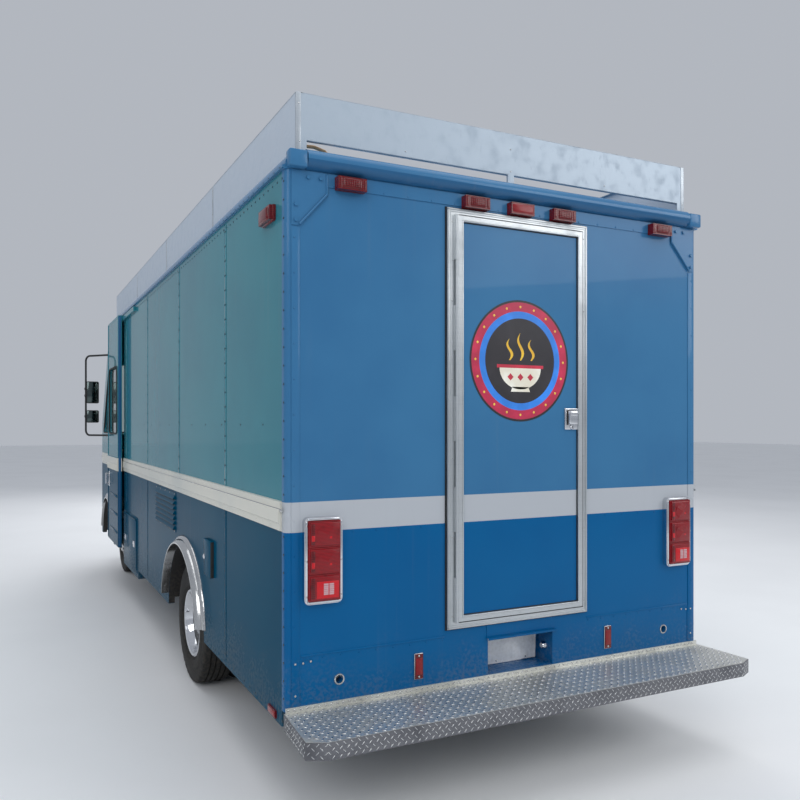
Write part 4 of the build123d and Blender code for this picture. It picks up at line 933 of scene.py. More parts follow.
# Rear wall: corner posts, cover strips, rivets, screws, roof rail ends and port rims
post_rivets = []
bm = bmesh.new()
for side in SIDES:
    slab(bm, (side * 1.156, REAR - 0.003, 0.484), (side * 1.194, REAR, 2.546), 0.0012)
    slab(bm, (side * 1.190, REAR - 0.0022, 0.688), (side * 1.095, REAR, 0.692), 0.0008)
    slab(bm, (side * 1.156, REAR - 0.0030, 0.690), (side * 1.152, REAR, 0.500), 0.0008)
    x, y = side * 1.182, REAR - 0.003
    post_rivets += row((x, y, 0.53), (x, y, 2.50), 0.157, REARWARD)
for side in SIDES:
    slab(bm, (side * 1.15, REAR - 0.0022, 0.702), (side * 0.428, REAR, 0.712), 0.0008)
finish_piece("rear_cover_strips", bm, PAINT_REAR, "truck")
for span in ((-1.135, -0.44), (0.44, 1.135)):
    post_rivets += row((span[0], REAR - 0.0005, 0.692), (span[1], REAR - 0.0005, 0.692), 0.085, REARWARD)
    post_rivets += row((span[0], REAR - 0.0005, 1.228), (span[1], REAR - 0.0005, 1.228), 0.115, REARWARD)
post_rivets += row((-1.0, REAR - 0.0045, 2.739), (1.0, REAR - 0.0045, 2.739), 0.125, REARWARD)
round_heads("rear_rivets", post_rivets, 0.009, 0.0042, PAINT_REAR)

REFLECTOR_X = 0.570
panel_screws = []
for side in SIDES:
    for x, z in ((1.176, 0.676), (1.140, 0.676), (1.105, 0.680), (1.176, 0.540)):
        panel_screws.append(((side * x, REAR - 0.0032, z), REARWARD, ACROSS))
    for z in (0.541, 0.636):
        panel_screws.append(((side * REFLECTOR_X, REAR - 0.0085, z), REARWARD, ACROSS))
round_heads("rear_panel_screws", panel_screws, 0.011, 0.005, STEEL)

gusset_bolts = []
bm = bmesh.new()
for side in SIDES:
    for inset, z in ((0.102, 2.762), (0.160, 2.762), (0.045, 2.640), (0.045, 2.574)):
        gusset_bolts.append(((side * (HALF - inset), REAR - 0.0045, z), REARWARD, ACROSS))
    low, high = Vector((side * (HALF - 0.060), 0, 2.556)), Vector((side * (HALF - 0.188), 0, 2.697))
    for y in (REAR - 0.006, REAR - 0.009):
        low.y = high.y = y
        rod(bm, low, high, 0.0045, 10)
    slab(bm, (side * (HALF - 0.195), REAR - 0.008, 2.695), (side * (HALF - 0.186), REAR - 0.002, 2.786),
         0.002)
    slab(bm, (side * (HALF - 0.0045), REAR + 0.010, 2.792), (side * (HALF - 0.088), REAR - 0.041, 2.866),
         0.008)
finish_piece("roof_rail_ends", bm, PAINT_ROOF, "truck")
hex_heads("gusset_bolts", gusset_bolts, 0.017, 0.007, PAINT_ROOF)

bm = bmesh.new()
for side in SIDES:
    turned(bm, [(0.0182, 0.010), (0.0182, -0.0035), (0.021, -0.0045), (0.024, -0.0035), (0.025, -0.0002)],
           (side * 0.97, REAR, 0.585), FORWARD, 36, closed=False)
finish_piece("port_rims", bm, STEEL, "truck")

# Blank plate with its surround, lamp, screws and hood in the recess
PLATE_Y = REAR + 0.1165
bm = bmesh.new()
slab(bm, (-0.112, PLATE_Y - 0.0012, 0.4995), (0.193, PLATE_Y, 0.652), 0.0005)
finish_piece("blank_plate", bm, WHITE_PLATE, "truck")
bm = bmesh.new()
border(bm, (-0.117, 0.198, 0.4955, 0.656), 0.0, 0.0065, (PLATE_Y - 0.005, PLATE_Y + 0.002), 0.0015)
turned(bm, [(0, -0.022), (0.012, -0.021), (0.019, -0.012), (0.021, 0.0), (0, 0.0)],
       (0.2085, REAR + 0.06, 0.575), ACROSS, 28, closed=False)
finish_piece("plate_surround", bm, BRIGHT, "truck")
screws = [((x, PLATE_Y - 0.0015, z), REARWARD, ACROSS) for x in (-0.05, 0.131) for z in (0.512, 0.639)]
round_heads("plate_screws", screws, 0.011, 0.006, STEEL)
bm = bmesh.new()
slab(bm, (-0.193, REAR - 0.020, 0.672), (0.219, REAR - 0.002, 0.6755), 0.0012)
slab(bm, (-0.193, REAR - 0.020, 0.664), (0.219, REAR - 0.0175, 0.6755), 0.001)
finish_piece("plate_hood", bm, PAINT_REAR, "truck")

# Tail lamps: bezel beads, lens faces, facets, bulb housings, reflector cells and screws
LAMP_X = 1.055
LAMP_LEVELS = (1.0007, 1.116, 1.2313)
bm = bmesh.new()
for side in SIDES:
    for z in (0.929, 1.303):
        sign = 1 if z > 1.1 else -1
        slab(bm, (side * LAMP_X - 0.075, REAR - 0.0345, z - sign * 0.016),
             (side * LAMP_X + 0.075, REAR - 0.024, z - sign * 0.003), 0.005, 3)
    for x in (-0.089, 0.089):
        sign = 1 if x > 0 else -1
        slab(bm, (side * LAMP_X + x - sign * 0.016, REAR - 0.0345, 0.944),
             (side * LAMP_X + x - sign * 0.003, REAR - 0.024, 1.288), 0.005, 3)
finish_piece("tail_bezel_beads", bm, BRIGHT, "truck")
bm = bmesh.new()
for side in SIDES:
    for z in LAMP_LEVELS:
        slab(bm, (side * LAMP_X - 0.068, REAR - 0.0465, z - 0.050),
             (side * LAMP_X + 0.068, REAR - 0.0395, z + 0.050), 0.006, 3)
finish_piece("tail_lens_faces", bm, RED_LENS, "truck")
facets, cells, clear, housings = bmesh.new(), bmesh.new(), bmesh.new(), bmesh.new()
for side in SIDES:
    for level, z in enumerate(LAMP_LEVELS):
        x, face = side * LAMP_X, REAR - 0.0466
        slab(housings, (x - 0.066, face - 0.0012, z - 0.044), (x - 0.047, face + 0.004, z + 0.044), 0.003)
        if level == 0:
            for column in (0, 1):
                left = x - 0.008 + column * 0.026
                for k in range(6):
                    low = z - 0.030 + k * 0.0083
                    slab(cells, (left, face - 0.0026, low), (left + 0.022, face + 0.002, low + 0.0074),
                         0.0012)
            slab(clear, (x - 0.040, face - 0.0010, z - 0.045), (x + 0.064, face + 0.004, z + 0.028), 0.004, 3)
            continue
        slab(clear, (x - 0.064, face - 0.0024, z - 0.030), (x - 0.048, face + 0.002, z - 0.004), 0.002)
        mid_x, mid_z = x + 0.010, z - 0.002
        hub = facets.verts.new((mid_x, face - 0.0064, mid_z))
        rim = []
        for k in range(8):
            angle = math.pi * k / 4 + 0.2
            rim.append(facets.verts.new((mid_x + 0.052 * math.cos(angle), face - 0.0002 - 0.0022 * (k % 2),
                                         mid_z + 0.040 * math.sin(angle))))
        back = facets.verts.new((mid_x, face + 0.003, mid_z))
        for k in range(8):
            facets.faces.new((hub, rim[k], rim[(k + 1) % 8]))
            facets.faces.new((back, rim[(k + 1) % 8], rim[k]))
        # Small bright red patch right of the facets: painted glint
        slab(clear, (x + 0.018, face - 0.0050, z - 0.020), (x + 0.030, face - 0.001, z - 0.008), 0.002)
finish_piece("tail_lens_facets", facets, RED_LENS, "truck", smooth=0.05)
finish_piece("tail_reflector_cells", cells, CLEAR_GRID, "truck")
finish_piece("tail_clear_lenses_and_glints", clear, RED_CLEAR_AND_GLINT, "truck")
finish_piece("tail_bulb_housings", housings, DARK_RED, "truck")
lamp_screws = []
for side in SIDES:
    for x in (-0.0815, 0.0815):
        for z in (0.965, 1.116, 1.267):
            lamp_screws.append(((side * LAMP_X + x, REAR - 0.0345, z), REARWARD, ACROSS))
round_heads("tail_lamp_screws", lamp_screws, 0.0085, 0.0035, STEEL)

# Marker lamps with bases and ribbed domes, and reflectors
MARKERS = (-0.923, -0.268, -0.005, 0.255, 0.923)
bases, domes, plain = bmesh.new(), bmesh.new(), bmesh.new()
for x in MARKERS:
    slab(bases, (x - 0.0705, REAR - 0.016, 2.7205), (x + 0.0705, REAR - 0.0038, 2.7795), 0.004)
    if abs(x) < 0.01:
        slab(plain, (x - 0.0695, REAR - 0.0445, 2.7225), (x + 0.0695, REAR - 0.012, 2.7775), 0.016, 4)
        continue
    for end in SIDES:
        slab(bases, (x + end * 0.0695, REAR - 0.0430, 2.7225), (x + end * 0.047, REAR - 0.004, 2.7775), 0.006,
             3)
    slab(domes, (x - 0.048, REAR - 0.0465, 2.7245), (x + 0.048, REAR - 0.010, 2.7755), 0.012, 4)
    for k in range(8):
        slab(domes, (x - 0.041 + k * 0.0105, REAR - 0.0478, 2.733),
             (x - 0.0355 + k * 0.0105, REAR - 0.04, 2.767), 0.002)
finish_piece("centre_marker", plain, RED_LENS, "truck")
for side in SIDES:
    y0 = REAR + 0.125
    slab(bases, (side * (HALF - 0.001), y0 - 0.004, 2.599), (side * (HALF + 0.016), y0 + 0.154, 2.669), 0.004)
    slab(domes, (side * (HALF + 0.010), y0 + 0.018, 2.605), (side * (HALF + 0.037), y0 + 0.132, 2.663), 0.010,
         4)
finish_piece("marker_bases", bases, DARK_RED, "truck")
finish_piece("marker_domes", domes, DARK_RED, "truck")
bm = bmesh.new()
for side in SIDES:
    slab(bm, (side * REFLECTOR_X - 0.0175, REAR - 0.0105, 0.551),
         (side * REFLECTOR_X + 0.0175, REAR - 0.006, 0.626), 0.003, 3)
    slab(bm, (side * (HALF + 0.006), REAR + 0.114, 0.415), (side * (HALF + 0.0105), REAR + 0.206, 0.443),
         0.003)
finish_piece("reflector_faces", bm, RED_LENS, "truck")
bm = bmesh.new()
for side in SIDES:
    slab(bm, (side * REFLECTOR_X - 0.0235, REAR - 0.006, 0.529),
         (side * REFLECTOR_X + 0.0235, REAR - 0.0005, 0.648), 0.003, 3)
finish_piece("reflector_rims", bm, STEEL, "truck")


# Loops and strips


def rounded_loop(corners, radius, steps=6):
    """Closed line of points with its corners rounded."""
    points = []
    count = len(corners)
    for k in range(count):
        before, here, after = (Vector(corners[(k + d) % count]) for d in (-1, 0, 1))
        start = here + (before - here).normalized() * radius
        end = here + (after - here).normalized() * radius
        for step in range(steps + 1):
            s = step / steps
            points.append(start * (1 - s) ** 2 + here * (2 * s * (1 - s)) + end * s ** 2)
    return points


def flat_ring(bm, outer, inner, centre, y, depth, steps=96):
    """Flat ring or disc facing rearward."""
    inside = [(inner, depth), (inner, 0.0)] if inner > 0 else [(0.0, depth), (0.0, 0.0)]
    turned(bm, [(outer, 0.0), (outer, depth)] + inside, (centre[0], y, centre[1]), REARWARD, steps,
           closed=inner > 0)


# Rear door: stepped frame beads, seals, catch, and a round sign with a bowl
bm = bmesh.new()
DOOR_FRAME = (-0.421, 0.421, 0.740, 2.716)
border(bm, DOOR_FRAME, 0.003, 0.009, (REAR - 0.0172, REAR - 0.013), 0.0012)
border(bm, DOOR_FRAME, 0.014, 0.018, (REAR - 0.0158, REAR - 0.013), 0.0012)
finish_piece("door_frame_beads", bm, FRAME_ALLOY, "truck")
bm = bmesh.new()
border(bm, DOOR_FRAME, -0.006, -0.0005, (REAR - 0.0035, REAR - 0.0002), 0.001)
finish_piece("door_frame_sealant", bm, RUBBER, "truck")

SKIN_BOX = (-0.336, 0.366, 0.795, 2.661)
SKIN_Y = REAR - 0.006
BEAD = 0.0045
bm = bmesh.new()
x0, x1, z0, z1 = SKIN_BOX
for low, high in (((x0 - BEAD, z0 - BEAD), (x0 + BEAD, z1 + BEAD)),
                  ((x1 - BEAD, z0 - BEAD), (x1 + BEAD, z1 + BEAD)),
                  ((x0, z0 - BEAD), (x1, z0 + BEAD)), ((x0, z1 - BEAD), (x1, z1 + BEAD))):
    slab(bm, (low[0], REAR - 0.0185, low[1]), (high[0], SKIN_Y + 0.001, high[1]), 0.0035, 3)
finish_piece("door_edge_beads", bm, FRAME_ALLOY, "rear_door_leaf")
bm = bmesh.new()
border(bm, SKIN_BOX, BEAD, BEAD + 0.004, (SKIN_Y - 0.0022, SKIN_Y), 0.0008)
finish_piece("door_skin_seal", bm, RUBBER, "rear_door_leaf")
frame_screws = []
for z in (0.80, 1.17, 1.54, 1.91, 2.28, 2.65):
    frame_screws.append(((DOOR_FRAME[1] - 0.0225, REAR - 0.0142, z), REARWARD, ACROSS))
    frame_screws.append(((DOOR_FRAME[0] + 0.026, REAR - 0.0142, z), REARWARD, ACROSS))
round_heads("door_frame_screws", frame_screws, 0.0075, 0.003, STEEL)

bm = bmesh.new()
slab(bm, (0.2785, SKIN_Y - 0.0075, 1.6745), (0.3635, SKIN_Y - 0.0005, 1.7835), 0.003, 3)
slab(bm, (0.2925, SKIN_Y - 0.0275, 1.7015), (0.3475, SKIN_Y - 0.012, 1.7705), 0.006, 3)
slab(bm, (0.2975, SKIN_Y - 0.031, 1.7450), (0.3425, SKIN_Y - 0.022, 1.7640), 0.004, 3)
turned(bm, [(0, -0.0145), (0.009, -0.0145), (0.0115, -0.0125), (0.0125, -0.006), (0, -0.006)],
       (0.321, SKIN_Y, 1.6875), FORWARD, 28, closed=False)
finish_piece("door_catch_paddle", bm, BRIGHT, "rear_door_leaf")
bm = bmesh.new()
slab(bm, (0.3198, SKIN_Y - 0.0151, 1.6815), (0.3222, SKIN_Y - 0.0140, 1.6935), 0.0004)
slab(bm, (0.2895, SKIN_Y - 0.0092, 1.6985), (0.3505, SKIN_Y - 0.0072, 1.7735), 0.0008)
finish_piece("door_catch_shadow", bm, RUBBER, "rear_door_leaf")


def sign_colour(name, colour):
    """Printed sheet stuck to the door skin."""
    return dusty(name, colour, 0.32, coat=0.5, amount=0.05)


SIGN = (0.005, 2.013)
SIGN_R = 0.298
FILM = 0.0004
SIGN_RINGS = (
    ("sign_rim", 1.0, 0.965, srgb(22, 18, 24)), ("sign_red", 0.965, 0.815, srgb(178, 26, 66)),
    ("sign_blue", 0.815, 0.70, srgb(36, 122, 214)), ("sign_centre", 0.70, 0.0, srgb(28, 24, 30)),
)
for name, outer, inner, colour in SIGN_RINGS:
    bm = bmesh.new()
    flat_ring(bm, SIGN_R * outer, SIGN_R * inner, SIGN, SKIN_Y - 0.0001, 0.0006)
    finish_piece(name, bm, sign_colour(name, colour), "rear_door_leaf")


def cut_sheet(bm, points, lift):
    """Flat cut-out on the sign through (x, z) points from its centre, lifted off the door skin."""
    y = SKIN_Y - lift
    front = [bm.verts.new((SIGN[0] + x, y - FILM, SIGN[1] + z)) for x, z in points]
    back = [bm.verts.new((SIGN[0] + x, y, SIGN[1] + z)) for x, z in points]
    bm.faces.new(front)
    bm.faces.new(list(reversed(back)))
    for k in range(len(points)):
        n = (k + 1) % len(points)
        bm.faces.new((front[k], back[k], back[n], front[n]))


cream_sheet, gold_sheet, red_sheet = bmesh.new(), bmesh.new(), bmesh.new()
arc = [math.pi + math.pi * k / 24 for k in range(25)]
cut_sheet(cream_sheet, [(0.125 * math.cos(a), 0.105 * math.sin(a) - 0.035) for a in arc], 0.0006)
cut_sheet(cream_sheet, [(-0.048, -0.128), (0.048, -0.128), (0.058, -0.152), (-0.058, -0.152)], 0.0006)
cut_sheet(red_sheet, [(-0.140, -0.036), (-0.140, -0.020), (0.140, -0.020), (0.140, -0.036)], 0.0008)
for shift, height in ((-0.065, 0.105), (0.0, 0.135), (0.065, 0.105)):
    left, right = [], []
    for k in range(17):
        s = k / 16
        sway = 0.014 * math.sin(2 * math.pi * s)
        width = 0.0085 * math.sin(math.pi * min(1.0, 0.15 + 0.85 * s))
        z = 0.002 + s * height
        left.append((shift + sway - width, z))
        right.append((shift + sway + width, z))
    cut_sheet(gold_sheet, left + list(reversed(right)), 0.0006)
for x in (-0.06, 0.0, 0.06):
    cut_sheet(red_sheet, [(x, -0.062), (x + 0.018, -0.080), (x, -0.098), (x - 0.018, -0.080)], 0.0010)
SIGN_SHEETS = (("sign_bowl", cream_sheet, srgb(232, 224, 204)),
               ("sign_steam", gold_sheet, srgb(232, 180, 44)), ("sign_bands", red_sheet, srgb(188, 34, 60)))
for name, sheet, colour in SIGN_SHEETS:
    finish_piece(name, sheet, sign_colour(name, colour), "rear_door_leaf")
studs = []
for k in range(20):
    angle = 2 * math.pi * k / 20
    x, z = SIGN[0] + SIGN_R * 0.89 * math.cos(angle), SIGN[1] + SIGN_R * 0.89 * math.sin(angle)
    studs.append(((x, SKIN_Y - 0.0007, z), REARWARD, ACROSS))
round_heads("sign_studs", studs, 0.013, 0.0012, sign_colour("sign_dots", srgb(236, 190, 70)),
            "rear_door_leaf")

# Side walls: lap seams, rivets dark with painted shadow, belt beads and rivets, louvre slots
ARCH_SEAM = -1.13
SIDE_PITCH = 0.078
SEAM_Y = (-2.295, ARCH_SEAM, 0.10, 1.28)
laps = bmesh.new()
wall_rivets = []
for side in SIDES:
    face, lap = OUTWARD[side], side * (HALF + 0.0016)
    for y in SEAM_Y:
        low = OVER_BELT
        if side > 0 and HATCH_Y[0] < y < HATCH_Y[1]:
            low = HATCH_Z[1] + 0.05
        slab(laps, (side * HALF, y - 0.017, low), (lap, y + 0.017, WALL_TOP), 0.0006)
        for shift in (-0.010, 0.010):
            wall_rivets += row((lap, y + shift, low + 0.03),
                               (lap, y + shift, 2.74), SIDE_PITCH, face)
        if y != ARCH_SEAM:
            foot = 0.43 if not (side < 0 and y > 0.57) else 0.93
            slab(laps, (side * HALF, y - 0.017, foot), (lap, y + 0.017, UNDER_BELT), 0.0006)
            wall_rivets += row((lap, y, foot + 0.03), (lap, y, 1.21), SIDE_PITCH, face)
    wall_rivets += row((side * HALF, REAR + 0.04, 2.756), (side * HALF, DOOR_Y[0] - 0.75, 2.756), 0.062, face)
    wall_rivets += row((side * HALF, REAR + 0.022, 0.45), (side * HALF, REAR + 0.022, 1.22), SIDE_PITCH, face)
    wall_rivets += row((side * HALF, REAR + 0.022, 1.40), (side * HALF, REAR + 0.022, 2.74), SIDE_PITCH, face)
    wall_rivets += row((side * HALF, REAR + 0.04, 0.425), (side * HALF, REAR_AXLE - 0.60, 0.425), 0.09, face)
    wall_rivets += row((side * HALF, REAR_AXLE + 0.60, 0.425), (side * HALF, 0.54, 0.425), 0.09, face)
    if side < 0:
        wall_rivets += row((side * HALF, REAR + 0.30, 1.70), (side * HALF, DOOR_Y[0] - 0.06, 1.70), 0.37,
                           face)
finish_piece("side_lap_seams", laps, PAINT_SIDE, "truck")
round_heads("side_rivets", wall_rivets, 0.011, 0.0044, RIVET_PAINTED_SHADOW)
belt_rivets = []
for side in SIDES:
    for z in (1.257, 1.353):
        x = side * (HALF + 0.0102)
        belt_rivets += row((x, REAR + 0.07, z), (x, DOORWAY_Y[0] - 0.03, z), 0.10, OUTWARD[side])
bm = bmesh.new()
for side in SIDES:
    slab(bm, (side * (HALF + 0.0098), REAR + 0.01, 1.327),
         (side * (HALF + 0.0126), DOORWAY_Y[0] - 0.03, 1.339), 0.0012)
finish_piece("belt_beads", bm, STEEL, "truck")
round_heads("belt_rivets", belt_rivets, 0.009, 0.0028, PAINT_BELT)

bm = bmesh.new()
SLOT_PITCH = (1.226 - 0.950 - 0.030) / 7
for k in range(7):
    z = 0.950 + 0.015 + k * SLOT_PITCH
    slab(bm, (-HALF - 0.0165, -1.0, z + 0.0005), (-HALF - 0.0035, -0.335, z + 0.0042), 0.0005)
    slab(bm, (-HALF - 0.0048, -1.0, z - 0.006), (-HALF - 0.0038, -0.335, z + 0.004), 0.0004)
finish_piece("louvre_slots", bm, RUBBER, "truck")
vent_screws = []
for z in (0.958, 1.218):
    vent_screws += row((-HALF - 0.0042, -1.010, z), (-HALF - 0.0042, -0.325, z), 0.17, OUTWARD[-1])
round_heads("louvre_screws", vent_screws, 0.009, 0.004, STEEL)

# Filler door behind the left rear wheel, and the utility box door
bm = bmesh.new()
slab(bm, (-HALF, -2.045, 0.822), (-HALF - 0.020, -1.885, 1.033), 0.004, 3)
slab(bm, (-HALF - 0.003, 0.60, 0.36), (-HALF, 1.405, 0.865), 0.003)
slab(bm, (-HALF - 0.012, 0.63, 0.39), (-HALF - 0.002, 1.375, 0.835), 0.006, 3)
rod(bm, (-HALF - 0.010, 0.66, 0.842), (-HALF - 0.010, 1.345, 0.842), 0.0065, 14)
finish_piece("side_access_doors", bm, PAINT_SIDE, "truck")
# Dark strip along the filler door's rear edge
bm = bmesh.new()
slab(bm, (-HALF - 0.0185, -2.049, 0.826), (-HALF + 0.001, -2.0445, 1.029), 0.001)
finish_piece("filler_door_dark_edge", bm, RUBBER, "truck")
bm = bmesh.new()
turned(bm, [(0, 0.0), (0.016, 0.0), (0.016, 0.004), (0.012, 0.008), (0, 0.008)],
       (-HALF - 0.019, -1.915, 0.93), OUTWARD[-1], 28, closed=False)
for y in (0.75, 1.255):
    slab(bm, (-HALF - 0.0165, y - 0.045, 0.585), (-HALF - 0.010, y + 0.045, 0.640), 0.0025, 3)
    turned(bm, [(0, 0.0), (0.009, 0.0), (0.009, 0.004), (0, 0.005)], (-HALF - 0.0145, y + 0.024, 0.6125),
           OUTWARD[-1], 24, closed=False)
finish_piece("side_access_latches", bm, BRIGHT, "truck")

# Serving side: hatch frame, edging with handles, rivets and panel crease
bm = bmesh.new()
y0, y1 = HATCH_Y
z0, z1 = HATCH_Z
TRIM = 0.045
for low, high in (((y0 - TRIM, z0 - TRIM), (y1 + TRIM, z0 - 0.004)),
                  ((y0 - TRIM, z0 - TRIM), (y0 - 0.004, z1 + TRIM)),
                  ((y1 + 0.004, z0 - TRIM), (y1 + TRIM, z1 + TRIM))):
    slab(bm, (HALF, low[0], max(low[1], OVER_BELT)), (HALF + 0.006, high[0], max(high[1], 1.3765)), 0.002)
slab(bm, (HALF, y0 - TRIM, z1 + 0.034), (HALF + 0.022, y1 + TRIM, z1 + TRIM), 0.003)
finish_piece("hatch_frame_trim", bm, FRAME_ALLOY, "truck")
bm = bmesh.new()
for low, high in (((y0 + 0.012, z0 + 0.012), (y1 - 0.012, z0 + 0.040)),
                  ((y0 + 0.012, z0 + 0.012), (y0 + 0.040, z1 - 0.060)),
                  ((y1 - 0.040, z0 + 0.012), (y1 - 0.012, z1 - 0.060))):
    slab(bm, (HALF - 0.0015, *low), (HALF + 0.0035, *high), 0.002)
grip_z = z0 + 0.095
for y in (y0 + 0.45, y1 - 0.45):
    slab(bm, (HALF - 0.0015, y - 0.085, z0 + 0.06), (HALF + 0.005, y + 0.085, z0 + 0.13), 0.004, 3)
    rod(bm, (HALF + 0.030, y - 0.055, grip_z), (HALF + 0.030, y + 0.055, grip_z), 0.008, 14)
    for end in (-0.055, 0.055):
        rod(bm, (HALF + 0.002, y + end, grip_z), (HALF + 0.032, y + end, grip_z), 0.007, 14)
finish_piece("hatch_edging", bm, FRAME_ALLOY, "hatch")
hatch_rivets = []
for a, b in (((y0 + 0.026, z0 + 0.026), (y1 - 0.026, z0 + 0.026)),
             ((y0 + 0.026, z0 + 0.1), (y0 + 0.026, z1 - 0.1)),
             ((y1 - 0.026, z0 + 0.1), (y1 - 0.026, z1 - 0.1))):
    hatch_rivets += row((HALF + 0.0036, *a), (HALF + 0.0036, *b), 0.12, ACROSS)
round_heads("hatch_rivets", hatch_rivets, 0.009, 0.004, STEEL, "hatch")
bm = bmesh.new()
crease = (y0 + 0.36, y1 - 0.36, z0 + 0.30, z1 - 0.30)
border(bm, crease, 0.0, 0.004, (HALF - 0.0015, HALF + 0.0012), 0.0006, sideways=True)
finish_piece("hatch_panel_crease", bm, PAINT_SIDE, "hatch")


# Cab front: window seals, wipers, brow markers, lamps, bumper bolts, grille and fascia
SCREEN_UP = Vector((0.0, -0.5408, 0.8412))
SCREEN_OUT = Vector((0.0, 0.8412, 0.5408))
SCREEN_MID = Vector((0.0, 3.0761, 2.0))


def on_screen(x, up, out=0.0):
    """Point on the windscreen's plane."""
    return SCREEN_MID + Vector((x, 0, 0)) + SCREEN_UP * up + SCREEN_OUT * out


SCREEN_CORNERS = ((0.032, -0.47), (1.085, -0.47), (1.085, 0.50), (0.032, 0.50))
QUARTER_CORNERS = ((2.2475, 1.61), (3.0775, 1.61), (2.5632, 2.41), (2.2475, 2.41))
WINDOW_CORNERS = ((1.5025, 1.61), (2.0825, 1.61), (2.0825, 2.29), (1.5025, 2.29))
for letter, side in LETTERED:
    word = "left" if side < 0 else "right"
    corners = [on_screen(side * x, up, 0.001) for x, up in SCREEN_CORNERS]
    tube_along(f"screen_seal_{word}", rounded_loop(corners, 0.06), 0.010, RUBBER, "truck",
               cyclic=True)
    quarter = [(side * (HALF + 0.0005), y, z) for y, z in QUARTER_CORNERS]
    tube_along(f"quarter_seal_{word}", rounded_loop(quarter, 0.05), 0.0085, RUBBER, "truck",
               cyclic=True)
    window = [(side * (DOOR_FACE + 0.0005), y, z) for y, z in WINDOW_CORNERS]
    tube_along(f"door_window_seal_{word}", rounded_loop(window, 0.06), 0.0085, RUBBER, f"cab_door_{letter}",
               cyclic=True)

wipers, arms = bmesh.new(), bmesh.new()
for pivot_x, lean in ((-0.95, 0.78), (0.10, 0.78)):
    pivot = on_screen(pivot_x, -0.515, 0.010)
    tip = on_screen(pivot_x + lean * 0.45, -0.41, 0.008)
    turned(arms, [(0, -0.012), (0.020, -0.012), (0.020, 0.006), (0.013, 0.014), (0, 0.014)], pivot,
           SCREEN_OUT, 24, closed=False)
    rod(arms, pivot, tip, 0.005, 10)
    rod(wipers, on_screen(pivot_x + 0.10, -0.455, -0.006), on_screen(pivot_x + lean, -0.395, -0.006), 0.0065,
        10)
    rod(arms, on_screen(pivot_x + 0.20, -0.444, 0.002), on_screen(pivot_x + lean - 0.1, -0.404, 0.002),
        0.0045, 10)
finish_piece("wiper_arms", arms, BLACK, "truck")
finish_piece("wiper_blades", wipers, RUBBER, "truck")

bases, domes = bmesh.new(), bmesh.new()
turn = SCREEN_OUT.to_track_quat("Z", "Y").to_matrix().to_4x4()
for x in (-0.92, -0.20, 0.0, 0.20, 0.92):
    for bm, size, lift, soft in ((bases, (0.135, 0.060, 0.012), 0.005, 0.004),
                                 (domes, (0.115, 0.044, 0.036), 0.016, 0.012)):
        place = Matrix.Translation(on_screen(x, 0.72, lift)) @ turn
        placed_slab(bm, place, [-s / 2 for s in size], [s / 2 for s in size], soft, 3)
finish_piece("brow_marker_bases", bases, BLACK, "truck")
finish_piece("brow_marker_domes", domes, AMBER, "truck")

HEADLAMP_X, HEADLAMP_Z = 0.79, 0.83
rims, lenses, flutes = bmesh.new(), bmesh.new(), bmesh.new()
for side in SIDES:
    centre = (side * HEADLAMP_X, NOSE + 0.012, HEADLAMP_Z)
    turned(rims, [(0.083, 0.0), (0.083, 0.010), (0.090, 0.014), (0.100, 0.010), (0.106, -0.002),
                  (0.108, -0.0118), (0.093, -0.0118)], centre, FORWARD, 56)
    turned(lenses, [(0.0, 0.020), (0.03, 0.0185), (0.06, 0.0145), (0.0835, 0.007), (0.0835, 0.003),
                    (0.06, 0.0105), (0.03, 0.0145), (0.0, 0.016)], centre, FORWARD, 56, closed=False)
    turned(flutes, [(0.0, 0.0125), (0.010, 0.0125), (0.014, 0.006), (0.014, 0.0002), (0.0, 0.0002)], centre,
           FORWARD, 24, closed=False)
    for k in range(-6, 7):
        x = k * 0.0115
        reach = math.sqrt(max(0.0, 0.076 ** 2 - x ** 2))
        slab(flutes, (centre[0] + x - 0.0012, centre[1] + 0.0003, HEADLAMP_Z - reach),
             (centre[0] + x + 0.0012, centre[1] + 0.002, HEADLAMP_Z + reach), 0.0006)
finish_piece("headlamp_rims", rims, BRIGHT, "truck")
finish_piece("headlamp_lenses", lenses, LAMP_GLASS, "truck")
finish_piece("headlamp_flutes", flutes, BRIGHT, "truck")
amber_ribs = bmesh.new()
for side in SIDES:
    for k in range(14):
        x = side * HEADLAMP_X - 0.0715 + k * 0.011
        slab(amber_ribs, (x - 0.004, NOSE + 0.0215, 0.678), (x + 0.004, NOSE + 0.0245, 0.718), 0.0015)
finish_piece("turn_lamp_ribs", amber_ribs, AMBER, "truck")

front_bolts = []
for side in SIDES:
    for x, z in ((0.38, 0.60), (0.38, 0.54), (1.05, 0.60), (1.05, 0.54)):
        front_bolts.append(((side * x, NOSE + 0.1005, z), FORWARD, ACROSS))
round_heads("front_bumper_bolts", front_bolts, 0.030, 0.014, BRIGHT)
bm = bmesh.new()
for k in range(-11, 12):
    slab(bm, (k * 0.040 - 0.0022, NOSE - 0.030, 0.656), (k * 0.040 + 0.0022, NOSE - 0.0075, 0.984), 0.001)
finish_piece("grille_uprights", bm, BRIGHT, "truck")
bm = bmesh.new()
slab(bm, (-0.445, NOSE - 0.034, 0.656), (0.445, NOSE - 0.0305, 0.984), 0.001)
finish_piece("grille_backing", bm, RUBBER, "truck")
bm = bmesh.new()
border(bm, (-0.50, 0.50, 0.600, 1.040), 0.0, 0.029, (NOSE - 0.001, NOSE + 0.009), 0.004, 3)
finish_piece("grille_surround", bm, BRIGHT, "truck")
fascia_rivets = row((-0.95, NOSE, 1.19), (0.95, NOSE, 1.19), 0.095, FORWARD)
fascia_rivets += row((-0.95, NOSE, 1.105), (0.95, NOSE, 1.105), 0.095, FORWARD)
round_heads("fascia_rivets", fascia_rivets, 0.009, 0.004, PAINT_BANDED)
bm = bmesh.new()
